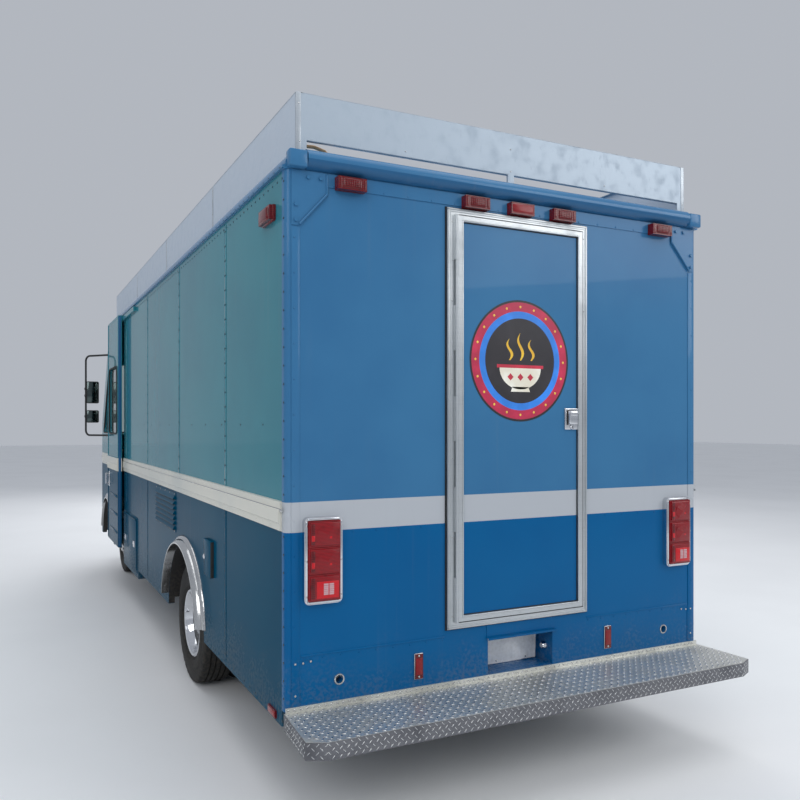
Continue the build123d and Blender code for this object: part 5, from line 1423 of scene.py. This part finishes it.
slab(bm, (-0.97, NOSE - 0.001, 1.130), (0.97, NOSE + 0.003, 1.165), 0.0012)
finish_piece("fascia_seam_strip", bm, PAINT_BANDED, "truck")

# Cab doors: handles, panel creases, rear edges, rivets and edge seals
HANDLE_Y = 2.095
DOOR_PITCH = 0.085
for letter, side in LETTERED:
    body = f"cab_door_{letter}"
    face = DOOR_FACE
    y0, y1 = DOOR_Y
    out = OUTWARD[side]
    bm = bmesh.new()
    slab(bm, (side * face, 2.045, 1.045), (side * (face + 0.004), 2.145, 1.205), 0.002)
    rod(bm, (side * (face + 0.034), HANDLE_Y, 1.070), (side * (face + 0.034), HANDLE_Y, 1.180), 0.0085, 14)
    for z in (1.072, 1.178):
        rod(bm, (side * (face + 0.002), HANDLE_Y, z), (side * (face + 0.036), HANDLE_Y, z), 0.0075, 14)
    turned(bm, [(0, 0.0), (0.013, 0.0), (0.013, 0.004), (0.009, 0.007), (0, 0.007)],
           (side * (face + 0.003), 2.125, 1.06), out, 24, closed=False)
    finish_piece(f"cab_door_handle_{letter}", bm, BRIGHT, body)
    bm = bmesh.new()
    for y in (y0 + 0.006, y1 - 0.006):
        slab(bm, (side * (face - 0.002), y - 0.006, DOOR_FOOT),
             (side * (face + 0.005), y + 0.006, UNDER_BELT), 0.002)
        slab(bm, (side * (face - 0.002), y - 0.006, OVER_BELT + 0.002),
             (side * (face + 0.005), y + 0.006, WALL_TOP), 0.002)
    for z in (0.62, 0.80, 0.98):
        slab(bm, (side * face, y0 + 0.09, z - 0.012), (side * (face + 0.004), y1 - 0.16, z + 0.012), 0.0035,
             3)
    finish_piece(f"cab_door_creases_{letter}", bm, PAINT_BANDED, body)
    # Strip on the door's rear edge, in darker blue as painted shade
    bm = bmesh.new()
    slab(bm, (side * (face - 0.028), y0 - 0.0016, DOOR_FOOT), (side * (face - 0.001), y0, WALL_TOP), 0.0006)
    finish_piece(f"cab_door_rear_edge_{letter}", bm, DOOR_EDGE_PAINTED_SHADE, body)
    marks = []
    for y in (y0 + 0.028, y1 - 0.028):
        marks += row((side * face, y, 0.52), (side * face, y, 1.20), DOOR_PITCH, out)
        marks += row((side * face, y, 1.40), (side * face, y, 2.76), DOOR_PITCH, out)
    marks += row((side * face, y0 + 0.06, 2.765), (side * face, y1 - 0.06, 2.765), DOOR_PITCH, out)
    round_heads(f"cab_door_rivets_{letter}", marks, 0.009, 0.004, PAINT_BANDED, body)
    bm = bmesh.new()
    slab(bm, (side * (face - 0.026), y1 - 0.005, 0.49), (side * (face - 0.008), y1 + 0.003, 2.70), 0.003)
    slab(bm, (side * (face - 0.006), y0 + 0.02, 0.478), (side * (face - 0.028), y1 - 0.02, 0.486), 0.003)
    finish_piece(f"cab_door_edge_seals_{letter}", bm, RUBBER, body)

# Mirrors: glass, shells, clamps and feet
MIRROR_Y, FOOT_Y = 2.8925, 2.622
glass, shells = bmesh.new(), bmesh.new()
for side in SIDES:
    x = side * (HALF + 0.1525)
    for low, high in ((1.950, 2.205), (1.725, 1.870)):
        slab(glass, (x - 0.061, MIRROR_Y - 0.0365, low + 0.009), (x + 0.061, MIRROR_Y - 0.0345, high - 0.009),
             0.0006)
        slab(shells, (x - 0.0665, MIRROR_Y - 0.033, low + 0.004),
             (x + 0.0665, MIRROR_Y + 0.006, high - 0.004), 0.016, 4)
    for z in (2.04, 2.12, 1.80):
        slab(shells, (side * (HALF + 0.205), MIRROR_Y - 0.015, z - 0.014),
             (side * (HALF + 0.241), MIRROR_Y + 0.016, z + 0.014), 0.005)
    for z in (1.58, 2.50):
        slab(shells, (side * (HALF - 0.0005), FOOT_Y - 0.045, z - 0.028),
             (side * (HALF + 0.006), FOOT_Y + 0.045, z + 0.028), 0.003)
finish_piece("mirror_glass", glass, MIRROR, "truck")
finish_piece("mirror_shells", shells, BLACK, "truck")

# Roof: cross seams, rivets, parapet folds and screws, fan cowl ribs, the pipe by the rear slot
bm = bmesh.new()
roof_rivets = []
for k in range(6):
    y = -2.65 + k * 0.86
    slab(bm, (-1.135, y - 0.025, ROOF - 0.0005), (1.135, y + 0.025, ROOF + 0.003), 0.001)
    for shift in (-0.014, 0.014):
        roof_rivets += row((-1.11, y + shift, ROOF + 0.003), (1.11, y + shift, ROOF + 0.003), 0.11, UPWARD)
finish_piece("roof_seams", bm, PAINT_ROOF, "truck")
round_heads("roof_rivets", roof_rivets, 0.010, 0.0045, PAINT_ROOF)
PARAPET_TOP, PARAPET_X, PARAPET_REAR, PARAPET_FRONT = 3.138, 1.160, -3.2025, 2.4268
POSTS_Y = (-1.80, -0.40, 1.00)
FAN, FAN_BOLT_R = Vector((0, -0.9325, ROOF)), 0.325
bm = bmesh.new()
for side in SIDES:
    slab(bm, (side * (PARAPET_X - 0.022), PARAPET_REAR - 0.0016, 2.872),
         (side * (PARAPET_X + 0.0012), PARAPET_REAR + 0.006, PARAPET_TOP), 0.0006)
    slab(bm, (side * (PARAPET_X - 0.034), PARAPET_REAR, PARAPET_TOP - 0.003),
         (side * (PARAPET_X + 0.001), PARAPET_FRONT, PARAPET_TOP + 0.0012), 0.0008)
    for y in POSTS_Y:
        slab(bm, (side * PARAPET_X, y - 0.012, 2.874),
             (side * (PARAPET_X + 0.0014), y + 0.012, PARAPET_TOP - 0.001), 0.0005)
        slab(bm, (side * (PARAPET_X - 0.012), y - 0.020, ROOF),
             (side * (PARAPET_X - 0.052), y + 0.020, ROOF + 0.004), 0.001)
        slab(bm, (side * (PARAPET_X - 0.012), y - 0.020, ROOF),
             (side * (PARAPET_X - 0.016), y + 0.020, PARAPET_TOP - 0.02), 0.001)
slab(bm, (-PARAPET_X + 0.03, PARAPET_REAR, PARAPET_TOP - 0.003),
     (PARAPET_X - 0.03, PARAPET_REAR + 0.034, PARAPET_TOP + 0.0012), 0.0008)
slab(bm, (-PARAPET_X + 0.036, PARAPET_REAR + 0.001, ROOF + 0.064),
     (PARAPET_X - 0.036, PARAPET_REAR + 0.020, ROOF + 0.0675), 0.0008)
slab(bm, (-PARAPET_X + 0.03, PARAPET_FRONT - 0.034, PARAPET_TOP - 0.003),
     (PARAPET_X - 0.03, PARAPET_FRONT, PARAPET_TOP + 0.0012), 0.0008)
finish_piece("parapet_folds", bm, SHEET, "truck")
REAR_SCREWS = ((-1.143, 2.925), (-0.62, 2.96), (-0.026, 2.95), (-0.026, 3.06), (0.58, 2.96), (1.149, 2.93),
               (-1.149, 3.09), (1.149, 3.09))
parapet_screws = [((x, PARAPET_REAR - 0.001, z), REARWARD, ACROSS) for x, z in REAR_SCREWS]
for side in SIDES:
    for y in POSTS_Y:
        x = side * (PARAPET_X + 0.0014)
        parapet_screws += row((x, y, 2.90), (x, y, 3.11), 0.07, OUTWARD[side])
    parapet_screws += row((side * PARAPET_X, -3.15, 2.885), (side * PARAPET_X, 2.38, 2.885), 0.35,
                          OUTWARD[side])
round_heads("parapet_screws", parapet_screws, 0.008, 0.0035, STEEL)
pipe_run = [(-1.118, -3.165, ROOF), (-1.118, -3.165, ROOF + 0.034), (-1.106, -3.163, ROOF + 0.053),
            (-1.060, -3.16, ROOF + 0.057), (-1.010, -3.157, ROOF + 0.047), (-0.980, -3.155, ROOF + 0.026),
            (-0.972, -3.155, ROOF)]
COPPER = dusty("copper_pipe", srgb(178, 146, 110), 0.4, metal=0.5, amount=0.1)
tube_along("roof_pipe", pipe_run, 0.008, COPPER, "truck")
bm = bmesh.new()
for k in range(24):
    angle = 2 * math.pi * k / 24
    out = Vector((math.cos(angle), math.sin(angle), 0))
    foot = FAN + out * 0.205
    rod(bm, foot + Vector((0, 0, 0.092)), foot + Vector((0, 0, 0.126)), 0.005, 8)
turned(bm, [(0.292, 0.131), (0.298, 0.129), (0.302, 0.138), (0.298, 0.150), (0.292, 0.150)], FAN, UPWARD, 72)
turned(bm, [(0.300, 0.064), (0.318, 0.0), (0.330, 0.0), (0.330, 0.005), (0.322, 0.006), (0.305, 0.070)], FAN,
       UPWARD, 72)
finish_piece("fan_cowl_ribs", bm, SHEET, "truck")
fan_bolts = []
for k in range(16):
    angle = math.pi * k / 8
    place = FAN + Vector((math.cos(angle) * FAN_BOLT_R, math.sin(angle) * FAN_BOLT_R, 0.006))
    fan_bolts.append((tuple(place), UPWARD, ACROSS))
hex_heads("fan_bolts", fan_bolts, 0.010, 0.005, STEEL)

# Roof gutter screws along both sides, dark with painted shadow
gutter_marks = []
for side in SIDES:
    x, z = side * (HALF + 0.0142), GUTTER + 0.007
    gutter_marks += row((x, REAR + 0.03, z), (x, 2.12, z), 0.075, OUTWARD[side])
round_heads("gutter_screws", gutter_marks, 0.008, 0.003, RIVET_PAINTED_SHADOW)


# Driver's seat: two pads blown up as cloth, then sewn channels and piping
PAD_CAP = 0.012
PAD_VOXEL = 0.0085
CUSHION = ((-0.838, 1.9545, 1.1105), (-0.382, 2.4205, 1.199))
BACK = ((-0.828, 0.0, 1.217), (-0.392, 0.092, 1.774))
CHANNELS_X = (-0.705, -0.515)


def back_shift(z):
    """How far forward the backrest's rear face stands at a height."""
    return 1.9535 - (z - 1.2103) * 0.1316


def pad_start():
    """Rounded blocks a little smaller than the finished pads."""
    bm = bmesh.new()
    slab(bm, *CUSHION, 0.034, 5)
    before = set(bm.verts)
    slab(bm, *BACK, 0.032, 5)
    for vert in bm.verts:
        if vert not in before:
            vert.co.y += back_shift(vert.co.z)
    mesh = bpy.data.meshes.new("seat_pad_start")
    bm.to_mesh(mesh)
    bm.free()
    return mesh


def applied(mesh, *steps):
    """Mesh after modifiers, each (type, settings), have been applied in turn."""
    holder = bpy.data.objects.new("seat_pad_work", mesh)
    bpy.context.collection.objects.link(holder)
    for kind, settings in steps:
        modifier = holder.modifiers.new(kind.title(), kind)
        for key, value in settings.items():
            setattr(modifier, key, value)
    made = bpy.data.meshes.new_from_object(holder.evaluated_get(bpy.context.evaluated_depsgraph_get()))
    bpy.data.objects.remove(holder)
    return made


def blown_up(mesh):
    """Mesh after twenty frames of cloth under inner pressure, with each point's movement capped."""
    holder = bpy.data.objects.new("seat_pad_cloth", mesh)
    bpy.context.collection.objects.link(holder)
    cloth = holder.modifiers.new("Cloth", "CLOTH")
    cloth.settings.quality = 5
    cloth.settings.mass = 0.3
    cloth.settings.tension_stiffness = 12
    cloth.settings.compression_stiffness = 12
    cloth.settings.bending_stiffness = 0.6
    cloth.settings.use_pressure = True
    cloth.settings.uniform_pressure_force = 4
    cloth.settings.effector_weights.gravity = 0
    cloth.collision_settings.use_collision = False
    cloth.point_cache.frame_start = 1
    cloth.point_cache.frame_end = 20
    start = [vert.co.copy() for vert in mesh.vertices]
    for moment in range(1, 21):
        bpy.context.scene.frame_set(moment)
    soft = bpy.data.meshes.new_from_object(holder.evaluated_get(bpy.context.evaluated_depsgraph_get()))
    bpy.context.scene.frame_set(1)
    bpy.data.objects.remove(holder)
    for vert, place in zip(soft.vertices, start):
        step = vert.co - place
        if step.length > PAD_CAP:
            vert.co = place + step * (PAD_CAP / step.length)
    return soft


def seat_pads():
    """Padded cushion and backrest, with sewn channels pressed into the facing sides."""
    mesh = applied(pad_start(), ("REMESH", {"mode": "VOXEL", "voxel_size": PAD_VOXEL}))
    mesh = blown_up(mesh)
    mesh = applied(mesh, ("SUBSURF", {"levels": 1, "render_levels": 1}))
    bm = bmesh.new()
    bm.from_mesh(mesh)
    bm.normal_update()
    for vert in bm.verts:
        cushion = vert.co.z < 1.2135 and vert.co.y > 1.93
        crown = vert.normal.z if cushion else vert.normal.y
        sewn = sum(math.exp(-((vert.co.x - x) / 0.007) ** 2) for x in CHANNELS_X)
        if cushion:
            sewn += math.exp(-((vert.co.y - 2.33) / 0.007) ** 2)
        else:
            sewn += math.exp(-((vert.co.z - 1.66) / 0.007) ** 2)
        vert.co -= vert.normal * (0.0085 * min(sewn, 1.0) * max(0.0, crown))
        if cushion:
            vert.co.z = min(max(vert.co.z, 1.1103), 1.2095)
        else:
            vert.co.z = max(vert.co.z, 1.2106)
    return finish_piece("seat_pads", bm, VINYL, "truck", smooth=math.radians(80))


pads = seat_pads()
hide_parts("seat_cushions")
x0, y0 = CUSHION[0][:2]
x1, y1 = CUSHION[1][:2]
PIPING_IN = 0.006
for name, z in (("top", 1.188), ("bottom", 1.124)):
    corners = [(x0 + PIPING_IN, y0 + PIPING_IN, z), (x1 - PIPING_IN, y0 + PIPING_IN, z),
               (x1 - PIPING_IN, y1 - PIPING_IN, z), (x0 + PIPING_IN, y1 - PIPING_IN, z)]
    tube_along(f"cushion_piping_{name}", rounded_loop(corners, 0.045), 0.0045, VINYL, "truck",
               cyclic=True)
BACK_CORNERS = ((-0.822, 1.224), (-0.398, 1.224), (-0.398, 1.768), (-0.822, 1.768))
for name, depth in (("front", 0.081), ("rear", 0.011)):
    corners = [(x, back_shift(z) + depth, z) for x, z in BACK_CORNERS]
    tube_along(f"backrest_piping_{name}", rounded_loop(corners, 0.045), 0.0045, VINYL, "truck",
               cyclic=True)
bm = bmesh.new()
for side in SIDES:
    rod(bm, (DRIVER_X + side * 0.241, 2.02, 1.085), (DRIVER_X + side * 0.241, 1.955, 1.26), 0.011, 14)
    slab(bm, (DRIVER_X + side * 0.185, 2.00, 0.7402), (DRIVER_X + side * 0.150, 2.37, 0.7465), 0.002)
rod(bm, (-0.70, 2.431, 1.096), (-0.52, 2.431, 1.096), 0.008, 12)
finish_piece("seat_side_bars", bm, BLACK, "truck")

# Dashboard: dials, switches, air vents and glove lid; then the horn pad and the pedals
DASH_UP = Vector((0, 0.6333, 0.7739))
DASH_OUT = Vector((0, -0.7739, 0.6333))
DASH_MID = Vector((0, 2.8525, 1.345))


def on_dash(x, up, out=0.0):
    """Point on the sloped face of the dashboard."""
    return DASH_MID + Vector((x, 0, 0)) + DASH_UP * up + DASH_OUT * out


rings, faces, hands = bmesh.new(), bmesh.new(), bmesh.new()
DIALS = ((-0.70, 0.0, 0.050), (-0.52, 0.0, 0.050), (DRIVER_X, 0.022, 0.027), (DRIVER_X, -0.034, 0.020))
for x, up, radius in DIALS:
    centre = on_dash(x, up)
    turned(rings, [(radius, 0.0), (radius, 0.008), (radius + 0.003, 0.011), (radius + 0.007, 0.007),
                   (radius + 0.008, -0.001)],
           centre, DASH_OUT, 40)
    turned(faces, [(0, 0.003), (radius, 0.003), (radius, -0.001), (0, -0.001)], centre, DASH_OUT, 40,
           closed=False)
    for k in range(9):
        angle = math.radians(-130 + 32.5 * k)
        out = Vector(ACROSS) * math.sin(angle) + DASH_UP * math.cos(angle)
        face = centre + DASH_OUT * 0.0035
        rod(hands, face + out * radius * 0.76, face + out * radius * 0.93, 0.0012, 6)
    aim = Vector(ACROSS) * math.sin(-2.0) + DASH_UP * math.cos(-2.0)
    rod(hands, centre + DASH_OUT * 0.0045, centre + aim * radius * 0.7 + DASH_OUT * 0.0045, 0.0014, 6)
finish_piece("dial_rings", rings, BRIGHT, "truck")
finish_piece("dial_faces", faces, RUBBER, "truck")
finish_piece("dial_hands", hands, WHITE_PLATE, "truck")
bm = bmesh.new()
turn = DASH_OUT.to_track_quat("Z", "Y").to_matrix().to_4x4()
for k in range(6):
    place = Matrix.Translation(on_dash(-0.36 + k * 0.038, 0.0)) @ turn
    placed_slab(bm, place, (-0.012, -0.020, -0.001), (0.012, 0.020, 0.009), 0.003, 3)
for x in (-1.02, -0.12, 0.12, 1.02):
    for k in range(5):
        place = Matrix.Translation(on_dash(x, -0.028 + k * 0.014)) @ turn
        placed_slab(bm, place, (-0.055, -0.003, -0.001), (0.055, 0.003, 0.008), 0.0012)
slab(bm, (0.42, 2.8185, 1.165), (0.86, 2.8325, 1.272), 0.004, 3)
slab(bm, (0.60, 2.812, 1.252), (0.68, 2.822, 1.264), 0.004, 3)
finish_piece("dash_switches", bm, RUBBER, "truck")
WHEEL_MID = Vector((DRIVER_X, 2.6475, 1.33))
WHEEL_UP = Vector((0, -0.8192, 0.5736))
bm = bmesh.new()
turned(bm, [(0.0, 0.030), (0.028, 0.028), (0.050, 0.018), (0.058, 0.004), (0.058, -0.010), (0.0, -0.010)],
       WHEEL_MID, WHEEL_UP, 48, closed=False)
rod(bm, WHEEL_MID - WHEEL_UP * 0.10 + Vector((-0.02, 0, 0)),
    WHEEL_MID - WHEEL_UP * 0.07 + Vector((-0.20, 0, 0)), 0.006, 12)
turned(bm, [(0.0, -0.19), (0.040, -0.19), (0.046, -0.12), (0.034, -0.09), (0.0, -0.09)], WHEEL_MID, WHEEL_UP,
       36, closed=False)
finish_piece("horn_pad", bm, PLASTIC, "truck")
bm = bmesh.new()
for x, width in ((-0.66, 0.075), (-0.51, 0.055)):
    rod(bm, (x, 3.02, 1.136), (x, 2.94, 0.885), 0.010, 14)
    rod(bm, (x, 2.94, 0.886), (x, 2.915, 0.872), 0.010, 14)
    place = Matrix.Translation((x, 2.912, 0.870)) @ Matrix.Rotation(math.radians(52), 4, "X")
    half = width / 2
    placed_slab(bm, place, (-half, -0.034, -0.006), (half, 0.034, 0.006), 0.004, 3)
    for k in range(4):
        y = -0.026 + k * 0.016
        placed_slab(bm, place, (-half + 0.006, y, 0.005), (half - 0.006, y + 0.006, 0.009), 0.0015)
finish_piece("pedals", bm, BLACK, "truck")

# Inside: liners, ceiling bows and lamps, partition beads and floor lugs
bm = bmesh.new()
LINER = HALF - 0.045
BACK_Y, FRONT_Y = -3.18, 1.372
SHEET_Z = (0.935, 2.786)
HOLE_Y, HOLE_Z = (-1.892, 0.577), (1.372, 2.49)
BOWS_Y = [-2.95 + k * 0.83 for k in range(6)]
slab(bm, (-LINER + 0.0003, BACK_Y, SHEET_Z[0]), (-LINER + 0.0025, FRONT_Y, SHEET_Z[1]), 0.0008)
for low, high in (((BACK_Y, SHEET_Z[0]), (FRONT_Y, HOLE_Z[0])), ((BACK_Y, HOLE_Z[1]), (FRONT_Y, SHEET_Z[1])),
                  ((BACK_Y, HOLE_Z[0]), (HOLE_Y[0], HOLE_Z[1])),
                  ((HOLE_Y[1], HOLE_Z[0]), (FRONT_Y, HOLE_Z[1]))):
    slab(bm, (LINER - 0.0025, *low), (LINER - 0.0003, *high), 0.0008)
slab(bm, (-1.17, BACK_Y, 2.7865), (1.17, FRONT_Y, 2.7897), 0.0008)
for y in BOWS_Y:
    slab(bm, (-1.172, y - 0.024, 2.779), (1.172, y + 0.024, 2.788), 0.003)
    slab(bm, (-LINER + 0.002, y - 0.016, 0.94), (-LINER + 0.005, y + 0.016, 2.78), 0.001)
finish_piece("inside_liners", bm, SHEET, "truck")
bm = bmesh.new()
for y in (-2.53, -0.87, 0.79):
    slab(bm, (-0.09, y - 0.30, 2.752), (0.09, y + 0.30, 2.7866), 0.012, 4)
lit = dusty("lit_lamp_cover", srgb(238, 238, 230), 0.4, amount=0.0)
glow = lit.node_tree.nodes["Principled BSDF"].inputs
glow["Emission Color"].default_value = srgb(255, 250, 238)
glow["Emission Strength"].default_value = 9.0
finish_piece("ceiling_lamps", bm, lit, "truck")
liner_rivets = []
for y in BOWS_Y:
    liner_rivets += row((-LINER + 0.005, y, 0.98), (-LINER + 0.005, y, 2.74), 0.16, ACROSS)
    liner_rivets += row((-1.10, y, 2.779), (1.10, y, 2.779), 0.20, DOWNWARD, ACROSS)
round_heads("liner_rivets", liner_rivets, 0.009, 0.004, STEEL)
bm = bmesh.new()
for k in range(9):
    x = -1.04 + k * 0.26
    slab(bm, (x - 0.016, 1.4070, 0.80), (x + 0.016, 1.4125, 2.70), 0.003, 3)
finish_piece("partition_beads", bm, FLOOR_SHEET, "truck")
floor_lugs = []
for c in range(21):
    for r in range(75):
        place = (-0.56 + c * 0.056, -3.15 + r * 0.060, 0.7401)
        floor_lugs.append((place, UPWARD, (DIAGONAL, DIAGONAL * leaning(c + r), 0)))
set_heads("floor_lugs", DOME_HEADS, floor_lugs, 0.030, 0.009, 0.003, FLOOR_SHEET, "truck")

# Underneath: spring bolts, plates and clips, rear drums and rail bolts
SPRING_X, RAIL_FACE = 0.48, 0.4321
bolts, plates = bmesh.new(), bmesh.new()
under_nuts = []
for axle_y, seat, foot in ((REAR_AXLE, 0.446, 0.314), (FRONT_AXLE, 0.340, 0.248)):
    for side in SIDES:
        x = side * SPRING_X
        slab(plates, (x - 0.050, axle_y - 0.075, seat + 0.0425), (x + 0.050, axle_y + 0.075, seat + 0.0545),
             0.004)
        slab(plates, (x - 0.050, axle_y - 0.075, foot), (x + 0.050, axle_y + 0.075, foot + 0.0115), 0.004)
        for dx in (-0.040, 0.040):
            for dy in (-0.0655, 0.0655):
                rod(bolts, (x + dx, axle_y + dy, foot - 0.030), (x + dx, axle_y + dy, seat + 0.066), 0.0075,
                    12)
                under_nuts.append(((x + dx, axle_y + dy, foot - 0.004), DOWNWARD, ACROSS))
                under_nuts.append(((x + dx, axle_y + dy, seat + 0.058), UPWARD, ACROSS))
        for end in SIDES:
            for reach in (0.26, 0.43):
                y = axle_y + end * reach
                rise = reach * reach / (2 * 2.6)
                slab(plates, (x - 0.034, y - 0.012, seat + rise - 0.004),
                     (x + 0.034, y + 0.012, seat + rise + 0.047), 0.003)
finish_piece("spring_bolts", bolts, PIPE, "truck")
finish_piece("spring_plates", plates, BLACK, "truck")
hex_heads("spring_nuts", under_nuts, 0.024, 0.014, PIPE)
bm = bmesh.new()
for side in SIDES:
    turned(bm, [(0.062, 0.0), (0.062, 0.02), (0.150, 0.026), (0.165, 0.034), (0.165, 0.048), (0.176, 0.050),
                (0.176, 0.066), (0.165, 0.068), (0.165, 0.090), (0.150, 0.098), (0.062, 0.098)],
           (side * 0.625, REAR_AXLE, HUB_Z), OUTWARD[side], 64)
finish_piece("rear_drums", bm, CAST, "truck")
rail_bolts = []
for side in SIDES:
    for y in (-2.62, -1.95, -0.65, 0.05, 0.75, 1.40, 2.05, 3.30):
        for z in (0.535, 0.635):
            rail_bolts.append(((side * RAIL_FACE, y, z), OUTWARD[side], FORWARD))
            rail_bolts.append(((side * RAIL_FACE, y + 0.09, z), OUTWARD[side], FORWARD))
hex_heads("rail_bolts", rail_bolts, 0.024, 0.011, PIPE)

# Camera, floor and light

camera = bpy.data.objects.new("camera", bpy.data.cameras.new("camera"))
bpy.context.collection.objects.link(camera)
camera.location = (-2.305, -6.194, 1.698)
aim = Vector((0.412, 0.911, 0.0)).normalized()
camera.rotation_euler = aim.to_track_quat("-Z", "Y").to_euler()
camera.data.sensor_width = 36.0
camera.data.lens = 33.35
camera.data.shift_x = 0.075
camera.data.shift_y = 0.03125
camera.data.clip_end = 200
bpy.context.scene.camera = camera

floor_mesh = bmesh.new()
bmesh.ops.create_grid(floor_mesh, x_segments=1, y_segments=1, size=60)
ground = bpy.data.meshes.new("studio_floor")
floor_mesh.to_mesh(ground)
floor_mesh.free()
ground_finish = Finish("studio_floor", (0.86, 0.87, 0.88, 1), 0.6)
ground_finish.over(ground_finish.use(BLOTCHES, Scale=0.6, Low=0.3, High=0.8).outputs[0],
                   (0.82, 0.83, 0.84, 1))
ground.materials.append(ground_finish.mat)
studio_floor = bpy.data.objects.new("studio_floor", ground)
bpy.context.collection.objects.link(studio_floor)

world = bpy.data.worlds.new("studio")
bpy.context.scene.world = world
world.use_nodes = True
world.node_tree.nodes["Background"].inputs[0].default_value = (0.86, 0.91, 1.0, 1)
world.node_tree.nodes["Background"].inputs[1].default_value = 0.52


def softbox(name, place, target, width, height, watts, colour=(1, 1, 1)):
    """Large soft light aimed at a point."""
    light = bpy.data.lights.new(name, "AREA")
    light.shape = "RECTANGLE"
    light.size, light.size_y = width, height
    light.energy = watts
    light.color = colour
    obj = bpy.data.objects.new(name, light)
    obj.location = place
    obj.rotation_euler = (Vector(target) - Vector(place)).to_track_quat("-Z", "Y").to_euler()
    bpy.context.collection.objects.link(obj)


softbox("overhead", (0, -1, 9), (0, 0, 0), 9, 12, 430)
softbox("rear_left", (-7, -10, 7), (0, -1, 1.3), 7, 5, 330)
softbox("rear_right", (7, -9, 6), (0, -1, 1.3), 6, 4, 230)
softbox("front", (4, 10, 6), (0, 1, 1.3), 7, 5, 350)

bpy.context.scene.view_settings.view_transform = "Standard"
